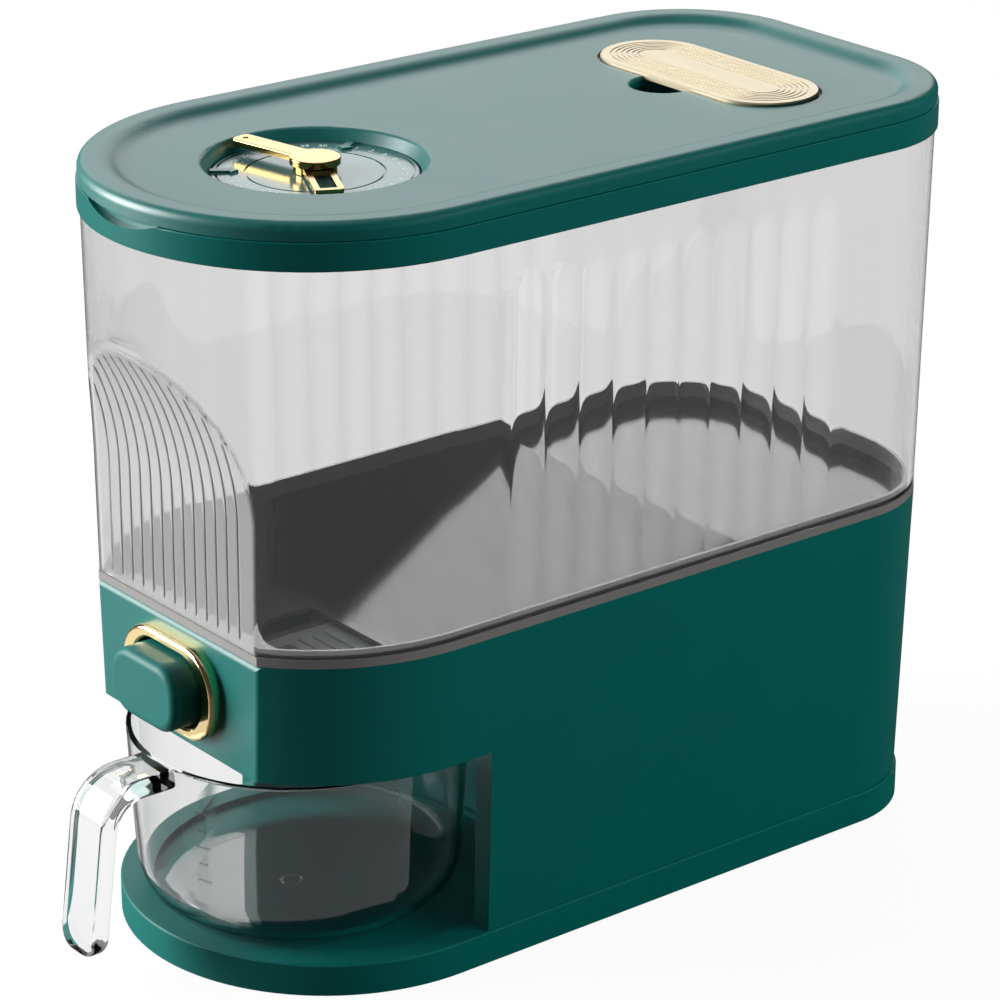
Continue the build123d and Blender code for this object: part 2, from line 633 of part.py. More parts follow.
# Spring bridge over the gate
BRIDGE_HALF = GATE_HALF + BRIDGE_GAP + BRIDGE_THICKNESS
BRIDGE_BEAM_FOOT = SPRING_Z - BRIDGE_HEIGHT / 2
BRIDGE_TOP = SPRING_Z + BRIDGE_HEIGHT / 2
BRIDGE_FRONT = BRIDGE_Y - BRIDGE_THICKNESS
BRIDGE_SCREWS = [(side * (BRIDGE_HALF + BRIDGE_FOOT / 2), (BRIDGE_Y + BRIDGE_FRONT) / 2) for side in (-1, 1)]
with BuildPart() as spring_bridge:
    bridge_plane = Plane(origin=(0, BRIDGE_Y, 0), x_dir=(1, 0, 0), z_dir=(0, -1, 0))
    with BuildSketch(bridge_plane) as arch:
        with BuildLine():
            Polyline(
                (-BRIDGE_HALF, CHUTE_FOOT),
                (-BRIDGE_HALF, BRIDGE_TOP),
                (BRIDGE_HALF, BRIDGE_TOP),
                (BRIDGE_HALF, CHUTE_FOOT),
                (BRIDGE_HALF - BRIDGE_THICKNESS, CHUTE_FOOT),
                (BRIDGE_HALF - BRIDGE_THICKNESS, BRIDGE_BEAM_FOOT),
                (BRIDGE_THICKNESS - BRIDGE_HALF, BRIDGE_BEAM_FOOT),
                (BRIDGE_THICKNESS - BRIDGE_HALF, CHUTE_FOOT),
                close=True,
            )
        make_face()
    extrude(arch.sketch, amount=BRIDGE_THICKNESS)
    with BuildSketch(Plane.XY.offset(CHUTE_FOOT)) as flanges:
        with Locations(*BRIDGE_SCREWS):
            Rectangle(BRIDGE_FOOT, 2 * SMALL_HEAD + WALL)
    extrude(flanges.sketch, amount=BRIDGE_THICKNESS)
    with Locations(*[(x, y, CHUTE_FOOT + BRIDGE_THICKNESS) for x, y in BRIDGE_SCREWS]):
        Hole(SMALL_SCREW + SLACK, depth=BRIDGE_THICKNESS)
    post_plane = Plane(origin=(0, BRIDGE_FRONT, SPRING_Z), x_dir=(1, 0, 0), z_dir=(0, -1, 0))
    with BuildSketch(post_plane) as post:
        Circle(SPRING_RADIUS - SPRING_WIRE - FIT)
    extrude(post.sketch, amount=SPRING_POST)
finish(spring_bridge, "spring_bridge")

with BuildPart() as bridge_screws:
    with BuildSketch(Plane.XY.offset(CHUTE_FOOT + BRIDGE_THICKNESS)) as heads:
        with Locations(*BRIDGE_SCREWS):
            Circle(SMALL_HEAD)
    extrude(heads.sketch, amount=SMALL_HEAD_HEIGHT)
    with BuildSketch(Plane.XY.offset(CHUTE_FOOT)) as shanks:
        with Locations(*BRIDGE_SCREWS):
            Circle(SMALL_SCREW)
    extrude(shanks.sketch, amount=BRIDGE_THICKNESS)
finish(bridge_screws, "bridge_screws")

# Return spring between the carriage and the bridge, wound along Y in quarter-turn arcs
SPRING_BACK = CARRIAGE_Y + CARRIAGE_PLATE + SPRING_WIRE + SLACK
SPRING_LENGTH = BRIDGE_FRONT - SPRING_WIRE - SLACK - SPRING_BACK
SPRING_PITCH = SPRING_LENGTH / SPRING_TURNS


def coil_point(turn):
    """Point of the coil's centre line after a number of turns."""
    angle = 2 * math.pi * turn
    across = SPRING_RADIUS * math.cos(angle)
    up = SPRING_RADIUS * math.sin(angle)
    return (across, SPRING_BACK + SPRING_PITCH * turn, SPRING_Z + up)


with BuildPart() as return_spring:
    with BuildLine() as coil:
        for quarter in range(4 * SPRING_TURNS):
            turns = (quarter / 4, quarter / 4 + 1 / 8, quarter / 4 + 1 / 4)
            ThreePointArc(*[coil_point(turn) for turn in turns])
    with BuildSketch(Plane(origin=coil.line @ 0, z_dir=coil.line % 0)):
        Circle(SPRING_WIRE)
    sweep()
finish(return_spring, "return_spring")
STEPS = 24
COIL = [Vector(*coil_point(step / STEPS)) for step in range(STEPS * SPRING_TURNS + 1)]
APART = [(a - b).length for i, a in enumerate(COIL) for b in COIL[i + STEPS // 2:]]
print(f"return_spring least gap to itself {min(APART) - 2 * SPRING_WIRE:.2f} mm")

# Hopper: a clear drafted shell with fluted sides, and a coved front facet with fine grooves
FLUTE_RADIUS = (FLUTE_PITCH ** 2 / 4 + FLUTE_DEPTH ** 2) / (2 * FLUTE_DEPTH)
with BuildPart() as hopper_room:
    extrude(body_plan(HOPPER_FOOT_GROW - HOPPER_WALL, HOPPER_FOOT), amount=HOPPER_HEIGHT, taper=-HOPPER_DRAFT)
    cut_facet(HOPPER_WALL)

LEAN = math.radians(HOPPER_DRAFT)
FLUTE_X = BODY_HALF + hopper_grow(FLUTE_TOP) + FLUTE_RADIUS - FLUTE_DEPTH
FLUTES = [
    Plane(
        origin=(side * FLUTE_X, ARC_Y + FLUTE_START + FLUTE_PITCH * index, FLUTE_TOP),
        x_dir=(0, 1, 0),
        z_dir=(-side * math.sin(LEAN), 0, -math.cos(LEAN)),
    )
    for side in (-1, 1)
    for index in range(FLUTE_COUNT)
]
with BuildPart() as hopper:
    extrude(body_plan(HOPPER_FOOT_GROW, HOPPER_FOOT), amount=HOPPER_HEIGHT, taper=-HOPPER_DRAFT)
    cut_facet(0)
    for place in FLUTES:
        with BuildSketch(place) as flute:
            Circle(FLUTE_RADIUS)
        extrude(flute.sketch, amount=FLUTE_TOP - HOPPER_FOOT - LIP_HEIGHT, mode=Mode.SUBTRACT)
    with Locations(*FLUTES):
        Sphere(FLUTE_RADIUS, mode=Mode.SUBTRACT)
    add(hopper_room.part, mode=Mode.SUBTRACT)
    for index in range(GROOVE_COUNT):
        x = GROOVE_PITCH * (index - (GROOVE_COUNT - 1) / 2)
        half = BODY_HALF + hopper_grow(COVE_FOOT)
        turn = cove_turn(BODY_Y - math.sqrt(half ** 2 - x ** 2) + GROOVE_STOP)
        with BuildSketch(Plane.YZ.offset(x)) as groove:
            with BuildLine():
                front = Line((FACET_Y - SLACK, HOPPER_FOOT + LIP_HEIGHT), (FACET_Y - SLACK, COVE_FOOT))
                outer = COVE_RADIUS - SLACK
                inner = COVE_RADIUS + GROOVE_DEPTH
                ThreePointArc(front @ 1, cove_point(outer, turn / 2), cove_point(outer, turn))
                Line(cove_point(outer, turn), cove_point(inner, turn))
                bend = [cove_point(inner, turn * share) for share in (1, 1 / 2, 0)]
                back = ThreePointArc(*bend)
                Polyline(back @ 1, (FACET_Y + GROOVE_DEPTH, HOPPER_FOOT + LIP_HEIGHT), front @ 0)
            make_face()
        extrude(groove.sketch, amount=GROOVE_WIDTH / 2, both=True, mode=Mode.SUBTRACT)
finish(hopper, "hopper")

# Collar: a ring that grips the top of the hopper, with a finger notch and two hinge knuckles
NOTCH_RADIUS = (NOTCH_HALF ** 2 + NOTCH_DEPTH ** 2) / (2 * NOTCH_DEPTH)
KNUCKLE_X = KNUCKLE_HALF + FIT + KNUCKLE_LENGTH / 2
with BuildPart() as top_collar:
    extrude(body_plan(COLLAR_GROW, COLLAR_FOOT), amount=COLLAR_HEIGHT)
    fillet(top_collar.edges().group_by(Axis.Z)[-1] + top_collar.edges().group_by(Axis.Z)[0], COLLAR_EDGE)
    for side in (-1, 1):
        side_plane = Plane.YZ.offset(side * KNUCKLE_X)
        with BuildSketch(side_plane) as knuckle:
            with BuildLine():
                Polyline(
                    (ARC_Y + BODY_REAR, HINGE_Z - KNUCKLE_ROOT),
                    (HINGE_Y - KNUCKLE_RADIUS, HINGE_Z - KNUCKLE_ROOT),
                    (HINGE_Y + KNUCKLE_RADIUS, HINGE_Z),
                    (ARC_Y + BODY_REAR, HINGE_Z),
                    close=True,
                )
            make_face()
            with Locations((HINGE_Y, HINGE_Z)):
                Circle(KNUCKLE_RADIUS)
        extrude(knuckle.sketch, amount=KNUCKLE_LENGTH / 2, both=True)
    extrude(body_plan(hopper_grow(COLLAR_FOOT) + SLACK, COLLAR_FOOT), amount=COLLAR_GRIP, taper=-HOPPER_DRAFT,
            mode=Mode.SUBTRACT)
    extrude(body_plan(MOUTH_GROW, COLLAR_FOOT), amount=COLLAR_HEIGHT, mode=Mode.SUBTRACT)
    notch_plane = Plane(
        origin=(0, BODY_Y - BODY_HALF - COLLAR_GROW + NOTCH_SET, COLLAR_TOP - NOTCH_DEPTH + NOTCH_RADIUS),
        x_dir=(1, 0, 0),
        z_dir=(0, -1, 0),
    )
    with BuildSketch(notch_plane) as notch:
        Circle(NOTCH_RADIUS)
    extrude(notch.sketch, amount=2 * NOTCH_SET, mode=Mode.SUBTRACT)
    with BuildSketch(Plane.YZ.offset(-BODY_HALF)) as pin_hole:
        with Locations((HINGE_Y, HINGE_Z)):
            Circle(PIN_RADIUS)
    extrude(pin_hole.sketch, amount=2 * BODY_HALF, mode=Mode.SUBTRACT)
finish(top_collar, "top_collar")

with BuildPart() as hinge_pin:
    with BuildSketch(Plane.YZ) as pin:
        with Locations((HINGE_Y, HINGE_Z)):
            Circle(PIN_RADIUS)
    extrude(pin.sketch, amount=KNUCKLE_HALF + FIT + KNUCKLE_LENGTH, both=True)
finish(hinge_pin, "hinge_pin")

# Lid: a dished panel with a plug ring, the dial well, the finger hole and the moisture-box well
WELL_RADIUS = DIAL_RADIUS + 2 * FIT
DIAL_TOP = PANEL_TOP - DIAL_DROP
DIAL_FOOT = DIAL_TOP - DIAL_THICKNESS
PLUG_FOOT = LID_FOOT - PLUG_DEPTH
COVER_PLACE = ARC_Y + COVER_Y
COVER_FOOT = PANEL_TOP - COVER_SEAT
BOX_PLACE = COVER_PLACE + BOX_SHIFT
BOX_FOOT = COVER_FOOT - BOX_DEPTH
CAVITY_GROW = 2 * FIT


def box_outline(grow, height):
    """Outline of the moisture box, grown outwards."""
    return rounded_box(BOX_LENGTH + 2 * grow, BOX_WIDTH + 2 * grow, BOX_CORNER + grow, BOX_PLACE, height)


with BuildPart() as lid:
    extrude(body_plan(LID_GROW, LID_FOOT), amount=LID_HEIGHT)
    fillet(lid.edges().group_by(Axis.Z)[-1], LID_EDGE)
    dish_angle = math.degrees(math.atan(RIM_SLOPE / PANEL_DROP))
    dish = body_plan(LID_GROW - RIM_FLAT - RIM_SLOPE, PANEL_TOP)
    extrude(dish, amount=PANEL_DROP, taper=-dish_angle, mode=Mode.SUBTRACT)
    rim_face = lid.faces().filter_by(Axis.Z).sort_by(Axis.Z)[-1]
    dish_face = lid.faces().filter_by(Axis.Z).sort_by(Axis.Z)[-2]
    fillet(rim_face.inner_wires()[0].edges() + dish_face.outer_wire().edges(), DISH_SOFT)
    extrude(body_plan(PLUG_GROW - PLUG_WALL, LID_FOOT), amount=PANEL_FOOT - LID_FOOT, mode=Mode.SUBTRACT)
    extrude(body_plan(PLUG_GROW, PLUG_FOOT), amount=PLUG_DEPTH)
    extrude(body_plan(PLUG_GROW - PLUG_WALL, PLUG_FOOT), amount=PLUG_DEPTH, mode=Mode.SUBTRACT)
    with BuildSketch(Plane.XY.offset(DIAL_FOOT - PANEL_THICKNESS)) as dial_boss:
        with Locations((0, DIAL_Y)):
            Circle(WELL_RADIUS + DIAL_SLOPE + PANEL_THICKNESS)
    extrude(dial_boss.sketch, amount=PANEL_TOP - DIAL_FOOT)
    extrude(stadium(COVER_LENGTH + 2 * COVER_GAP + WALL, COVER_WIDTH + 2 * COVER_GAP + WALL, COVER_PLACE,
                    COVER_FOOT - PANEL_THICKNESS), amount=PANEL_THICKNESS)
    shell_well = box_outline(CAVITY_GROW + BOX_WALL, BOX_FOOT - FIT - BOX_WALL)
    extrude(shell_well, amount=COVER_FOOT - BOX_FOOT + FIT + BOX_WALL)
    with BuildSketch(Plane.XY.offset(PANEL_TOP - HOLE_DEPTH - PANEL_THICKNESS)) as hole_boss:
        with Locations((0, ARC_Y + HOLE_Y)):
            Circle(HOLE_RADIUS + PANEL_THICKNESS)
    extrude(hole_boss.sketch, amount=HOLE_DEPTH + PANEL_THICKNESS - COVER_SEAT)
    with BuildSketch(Plane.XY.offset(DIAL_FOOT)) as dial_floor:
        with Locations((0, DIAL_Y)):
            Circle(WELL_RADIUS)
    extrude(dial_floor.sketch, amount=DIAL_THICKNESS, mode=Mode.SUBTRACT)
    with BuildSketch(Plane.XY.offset(DIAL_TOP)) as slope_foot:
        with Locations((0, DIAL_Y)):
            Circle(WELL_RADIUS)
    slope_angle = math.degrees(math.atan(DIAL_SLOPE / DIAL_DROP))
    extrude(slope_foot.sketch, amount=DIAL_DROP, taper=-slope_angle, mode=Mode.SUBTRACT)
    round_edges = lid.edges().filter_by(GeomType.CIRCLE)
    fillet(round_edges.filter_by(lambda e: abs(e.radius - WELL_RADIUS - DIAL_SLOPE) < SLACK), DIAL_SOFT)
    extrude(stadium(COVER_LENGTH + 2 * COVER_GAP, COVER_WIDTH + 2 * COVER_GAP, COVER_PLACE, COVER_FOOT),
            amount=COVER_SEAT, mode=Mode.SUBTRACT)
    extrude(box_outline(CAVITY_GROW, BOX_FOOT - FIT), amount=COVER_FOOT - BOX_FOOT + FIT, mode=Mode.SUBTRACT)
    hole_plane = Plane(origin=(0, ARC_Y + HOLE_Y, PANEL_TOP), x_dir=(1, 0, 0), z_dir=(0, -1, 0))
    with BuildSketch(hole_plane) as finger_hole:
        with BuildLine():
            wall = Polyline((0, 0), (0, -HOLE_DEPTH), (HOLE_RADIUS, -HOLE_DEPTH), (HOLE_RADIUS, -HOLE_SOFT))
            flare = TangentArc(wall @ 1, (HOLE_RADIUS + HOLE_SOFT, 0), tangent=(0, 1))
            Line(flare @ 1, wall @ 0)
        make_face()
    revolve(finger_hole.sketch, axis=Axis(hole_plane.origin, (0, 0, 1)), mode=Mode.SUBTRACT)
    with BuildSketch(Plane.XY.offset(BOX_FOOT - FIT - BOX_WALL)) as vents:
        with Locations((0, BOX_PLACE)):
            with GridLocations(VENT_PITCH, 1, VENT_COUNT, 1):
                SlotOverall(BOX_WIDTH - 2 * BOX_CORNER, BOX_VENT, rotation=90)
    extrude(vents.sketch, amount=BOX_WALL, mode=Mode.SUBTRACT)
    with BuildSketch(Plane.YZ) as knuckle:
        with Locations((HINGE_Y, HINGE_Z)):
            Circle(KNUCKLE_RADIUS)
        with BuildLine():
            Polyline(
                (ARC_Y + BODY_REAR, LID_FOOT),
                (HINGE_Y, LID_FOOT),
                (HINGE_Y, HINGE_Z + KNUCKLE_RADIUS),
                (ARC_Y + BODY_REAR, HINGE_Z + KNUCKLE_RADIUS),
                close=True,
            )
        make_face()
        with Locations((HINGE_Y, HINGE_Z)):
            Circle(PIN_RADIUS + RUN_FIT, mode=Mode.SUBTRACT)
    extrude(knuckle.sketch, amount=KNUCKLE_HALF, both=True)
finish(lid, "lid")

# Soft seal round the plug
SEAL_FOOT = LID_FOOT - PLUG_DEPTH / 2 - SEAL_HEIGHT / 2
with BuildPart() as lid_seal:
    extrude(body_plan(PLUG_GROW + SEAL_WIDTH, SEAL_FOOT), amount=SEAL_HEIGHT)
    fillet(lid_seal.edges(), SEAL_EDGE)
    extrude(body_plan(PLUG_GROW, SEAL_FOOT), amount=SEAL_HEIGHT, mode=Mode.SUBTRACT)
finish(lid_seal, "lid_seal")

# Dial disc with two fine ring grooves
DIAL_RINGS = (DIAL_GROOVE, DIAL_RADIUS - 2 * RING_WIDTH)
with BuildPart() as dial_plate:
    with BuildSketch(Plane.XY.offset(DIAL_FOOT)) as disc:
        with Locations((0, DIAL_Y)):
            Circle(DIAL_RADIUS)
            Circle(POST_RADIUS, mode=Mode.SUBTRACT)
    extrude(disc.sketch, amount=DIAL_THICKNESS)
    fillet(dial_plate.edges().group_by(Axis.Z)[-1].sort_by(SortBy.LENGTH)[-1], DIAL_EDGE)
    for radius in DIAL_RINGS:
        with BuildSketch(Plane.XY.offset(DIAL_TOP)) as ring:
            with Locations((0, DIAL_Y)):
                Circle(radius + RING_WIDTH / 2)
                Circle(radius - RING_WIDTH / 2, mode=Mode.SUBTRACT)
        extrude(ring.sketch, amount=-RING_DEPTH, mode=Mode.SUBTRACT)
finish(dial_plate, "dial_plate")


def hand_plane(angle, height):
    """Plane of a hand or clip: its X runs from the post outwards."""
    turn = math.radians(angle)
    return Plane(origin=(0, DIAL_Y, height), x_dir=(math.cos(turn), math.sin(turn), 0), z_dir=(0, 0, 1))


def arrow_outline(start, tip, width, stem):
    """Outline of an arrow along X, with a head as long as it is wide."""
    neck = tip + math.copysign(width / 2, start - tip)
    right = [(start, stem / 2), (neck, stem / 2), (neck, width / 2), (tip, 0)]
    return right + [(x, -y) for x, y in reversed(right[:-1])]


# Two arrow-shaped clips that hold the disc down
with BuildPart() as dial_clips:
    for angle in CLIP_ANGLES:
        with BuildSketch(hand_plane(angle, DIAL_TOP)) as clip:
            with BuildLine():
                Polyline(*arrow_outline(DIAL_RADIUS, CLIP_INNER, CLIP_WIDTH, CLIP_STEM), close=True)
            make_face()
        extrude(clip.sketch, amount=CLIP_THICKNESS)
finish(dial_clips, "dial_clips")

# Post, short hand and long hand
SHORT_FOOT = DIAL_TOP + CLIP_THICKNESS + FIT
LONG_FOOT = SHORT_FOOT + SHORT_THICKNESS + FIT
POST_TOP = LONG_FOOT + LONG_THICKNESS / 2
with BuildPart() as dial_post:
    with BuildSketch(Plane.XY.offset(DIAL_FOOT)) as post:
        with Locations((0, DIAL_Y)):
            Circle(POST_RADIUS)
    extrude(post.sketch, amount=POST_TOP - DIAL_FOOT)
finish(dial_post, "dial_post")

with BuildPart() as short_hand:
    with BuildSketch(hand_plane(SHORT_ANGLE, SHORT_FOOT)) as bar:
        with Locations((SHORT_REACH / 2, 0)):
            RectangleRounded(SHORT_REACH, SHORT_WIDTH, SHORT_THICKNESS)
        with Locations(((HUB_RADIUS + SHORT_REACH) / 2, 0)):
            Rectangle(SHORT_REACH - HUB_RADIUS - 2 * WINDOW_BORDER, SHORT_WIDTH - 2 * WINDOW_BORDER,
                      mode=Mode.SUBTRACT)
    extrude(bar.sketch, amount=SHORT_THICKNESS)
    with BuildSketch(Plane.XY.offset(DIAL_TOP + FIT)) as hub:
        with Locations((0, DIAL_Y)):
            Circle(HUB_RADIUS)
    extrude(hub.sketch, amount=SHORT_FOOT + SHORT_THICKNESS - DIAL_TOP - FIT)
    with BuildSketch(Plane.XY.offset(DIAL_TOP)) as bore:
        with Locations((0, DIAL_Y)):
            Circle(POST_RADIUS + RUN_FIT)
    extrude(bore.sketch, amount=2 * (SHORT_FOOT - DIAL_TOP + SHORT_THICKNESS), mode=Mode.SUBTRACT)
finish(short_hand, "short_hand")

with BuildPart() as long_hand:
    with BuildSketch(hand_plane(LONG_ANGLE, LONG_FOOT)) as arm:
        with Locations((LONG_REACH / 2, 0)):
            RectangleRounded(LONG_REACH, LONG_WIDTH, LONG_CORNER)
        Circle(HEAD_RADIUS)
    extrude(arm.sketch, amount=LONG_THICKNESS)
    fillet(long_hand.edges().group_by(Axis.Z)[-1], HAND_EDGE)
    with BuildSketch(hand_plane(LONG_ANGLE, LONG_FOOT + LONG_THICKNESS)) as mark:
        with BuildLine():
            tip = LONG_REACH - LONG_CORNER
            Polyline(*arrow_outline(tip - MARK_LENGTH, tip, MARK_WIDTH, MARK_STEM), close=True)
        make_face()
    extrude(mark.sketch, amount=-MARK_DEPTH, mode=Mode.SUBTRACT)
    with BuildSketch(Plane.XY.offset(LONG_FOOT)) as bore:
        with Locations((0, DIAL_Y)):
            Circle(POST_RADIUS + RUN_FIT)
    extrude(bore.sketch, amount=POST_TOP + SLACK - LONG_FOOT, mode=Mode.SUBTRACT)
finish(long_hand, "long_hand")

# Cover plate with concentric grooves, and the moisture box that hangs under it
COVER_BOTTOM = COVER_FOOT + FIT
COVER_TOP = COVER_BOTTOM + COVER_THICKNESS
with BuildPart() as compartment_cover:
    extrude(stadium(COVER_LENGTH, COVER_WIDTH, COVER_PLACE, COVER_BOTTOM), amount=COVER_THICKNESS)
    chamfer(compartment_cover.edges().group_by(Axis.Z)[-1], RING_DEPTH)
    for index in range(COVER_RING_COUNT):
        inset = COVER_RING_SET + COVER_RING_PITCH * index
        inside = inset + COVER_RING_WIDTH
        with BuildSketch(Plane.XY.offset(COVER_TOP)) as ring:
            with Locations((0, COVER_PLACE)):
                SlotOverall(COVER_LENGTH - 2 * inset, COVER_WIDTH - 2 * inset)
                SlotOverall(COVER_LENGTH - 2 * inside, COVER_WIDTH - 2 * inside, mode=Mode.SUBTRACT)
        extrude(ring.sketch, amount=-COVER_RING_DEPTH, mode=Mode.SUBTRACT)
finish(compartment_cover, "compartment_cover")

with BuildPart() as moisture_box:
    extrude(box_outline(0, BOX_FOOT), amount=COVER_BOTTOM - BOX_FOOT)
    box_room = box_outline(-BOX_WALL, BOX_FOOT + BOX_WALL)
    extrude(box_room, amount=COVER_BOTTOM - BOX_FOOT - BOX_WALL, mode=Mode.SUBTRACT)
    with BuildSketch(Plane.XY.offset(BOX_FOOT)) as vents:
        with Locations((0, BOX_PLACE)):
            with GridLocations(VENT_PITCH, 1, VENT_COUNT, 1):
                SlotOverall(BOX_WIDTH - 2 * BOX_CORNER, BOX_VENT, rotation=90)
    extrude(vents.sketch, amount=BOX_WALL, mode=Mode.SUBTRACT)
finish(moisture_box, "moisture_box")

PACK_INSET = BOX_WALL + 2 * FIT
with BuildPart() as desiccant_pack:
    extrude(box_outline(-PACK_INSET, BOX_FOOT + BOX_WALL), amount=PACK_HEIGHT)
    fillet(desiccant_pack.edges().group_by(Axis.Z)[-1], PACK_EDGE)
finish(desiccant_pack, "desiccant_pack")

# Measuring cup: a clear round bowl with a hanging handle
CUP_FOOT = PLATE_TOP - RECESS_DEPTH + SLACK
CUP_TOP = CUP_FOOT + CUP_HEIGHT
CUP_AXIS = Axis((0, CUP_Y, 0), (0, 0, 1))


def bowl_profile(inset, top):
    """Half section of the bowl, set in from its outside."""
    run = math.tan(math.radians(CUP_SLOPE))
    foot = CUP_FOOT + inset
    plane = Plane(origin=(0, CUP_Y, 0), x_dir=(1, 0, 0), z_dir=(0, -1, 0))
    foot_radius = CUP_RADIUS - inset - (CUP_TOP - foot) * run
    with BuildSketch(plane) as half:
        with BuildLine():
            top_radius = foot_radius + (top - foot) * run
            Polyline((0, foot), (foot_radius, foot), (top_radius, top), (0, top), close=True)
        make_face()
        corner = half.vertices().group_by(Axis.Y)[0].sort_by(Axis.X)[-1]
        fillet(corner, CUP_CURVE - inset)
    return half.sketch


HANDLE_MID = HANDLE_THICKNESS / 2
HANDLE_TOP = CUP_TOP - HANDLE_DROP - HANDLE_MID
HANDLE_FOOT = CUP_TOP - HANDLE_LENGTH
HANDLE_RUN = (HANDLE_REACH - HANDLE_OUT - HANDLE_MID) / (HANDLE_TOP - HANDLE_FOOT)
HANDLE_FALL = HANDLE_TOP - HANDLE_FOOT + HANDLE_THICKNESS
HANDLE_PATH = [
    (CUP_Y - CUP_RADIUS / 2, HANDLE_TOP),
    (CUP_Y - CUP_RADIUS - HANDLE_OUT, HANDLE_TOP),
    (CUP_Y - CUP_RADIUS - HANDLE_OUT - HANDLE_RUN * HANDLE_FALL, HANDLE_TOP - HANDLE_FALL),
]
with BuildPart() as cup_handle:
    with BuildSketch(Plane.YZ) as bend:
        with BuildLine():
            FilletPolyline(*HANDLE_PATH, radius=HANDLE_BEND)
        trace(line_width=HANDLE_THICKNESS)
    extrude(bend.sketch, amount=HANDLE_HALF, both=True)
    tongue_plane = Plane(origin=(0, CUP_Y, 0), x_dir=(1, 0, 0), z_dir=(0, -1, 0))
    with BuildSketch(tongue_plane) as tongue:
        with Locations((0, HANDLE_FOOT + CUP_HEIGHT)):
            RectangleRounded(2 * HANDLE_HALF, 2 * CUP_HEIGHT, HANDLE_TONGUE)
    extrude(tongue.sketch, amount=2 * CUP_RADIUS, mode=Mode.INTERSECT)
    root_edges = cup_handle.edges().group_by(Axis.Y)[-1]
    cross_edges = cup_handle.edges().filter_by(Axis.X)
    depth_edges = cup_handle.edges().filter_by(Axis.Y)
    tongue_edges = depth_edges.filter_by(lambda e: e.center().Z < HANDLE_TOP - HANDLE_BEND)
    plain_edges = root_edges + cross_edges + tongue_edges
    rim_edges = [e for e in cup_handle.edges() if e not in plain_edges]
    fillet(rim_edges + list(cross_edges.group_by(Axis.Z)[0]), HANDLE_EDGE)

with BuildPart() as measuring_cup:
    revolve(bowl_profile(0, CUP_TOP), axis=CUP_AXIS)
    fillet(measuring_cup.edges().group_by(Axis.Z)[-1], CUP_RIM)
    add(cup_handle.part)
    revolve(bowl_profile(CUP_WALL, CUP_TOP + CUP_RIM), axis=CUP_AXIS, mode=Mode.SUBTRACT)
finish(measuring_cup, "measuring_cup")
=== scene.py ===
"""Press-type rice dispenser: finishes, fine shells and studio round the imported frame."""

import json
import logging
import math
from dataclasses import dataclass
from enum import Enum
from typing import Any, ClassVar, Sequence

import bmesh
import bpy
from mathutils import Matrix, Quaternion, Vector


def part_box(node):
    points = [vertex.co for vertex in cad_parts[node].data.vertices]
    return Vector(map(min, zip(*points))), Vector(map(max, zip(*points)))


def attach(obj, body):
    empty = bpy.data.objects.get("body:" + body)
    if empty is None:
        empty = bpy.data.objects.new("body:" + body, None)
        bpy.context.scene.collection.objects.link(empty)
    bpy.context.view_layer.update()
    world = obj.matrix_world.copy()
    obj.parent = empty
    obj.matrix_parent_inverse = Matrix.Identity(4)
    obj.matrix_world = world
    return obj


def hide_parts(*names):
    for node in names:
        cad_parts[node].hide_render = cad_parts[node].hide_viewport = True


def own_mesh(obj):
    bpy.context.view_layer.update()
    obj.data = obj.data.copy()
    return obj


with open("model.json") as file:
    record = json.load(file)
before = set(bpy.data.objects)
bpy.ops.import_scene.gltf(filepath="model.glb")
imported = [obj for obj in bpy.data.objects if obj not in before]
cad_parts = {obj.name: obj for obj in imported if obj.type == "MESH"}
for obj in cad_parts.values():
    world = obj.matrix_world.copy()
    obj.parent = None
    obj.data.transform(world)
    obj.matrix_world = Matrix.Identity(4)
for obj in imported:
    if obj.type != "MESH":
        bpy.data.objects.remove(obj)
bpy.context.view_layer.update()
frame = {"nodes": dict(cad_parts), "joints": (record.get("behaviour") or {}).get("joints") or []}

MM = 0.001
LOG = logging.getLogger("rice_dispenser")

Colour = tuple[float, float, float]
Point = tuple[float, float, float]


class Slot(Enum):
    """Material slots of the record."""

    SHELL = "green_shell"
    CLEAR = "clear_shell"
    TRAY = "grey_inner"
    GOLD = "gold_trim"
    DIAL = "dial_face"
    RUBBER = "soft_rubber"
    SEAL = "pale_seal"
    STEEL = "steel"
    INNER = "white_inner"
    SACHET = "sachet"


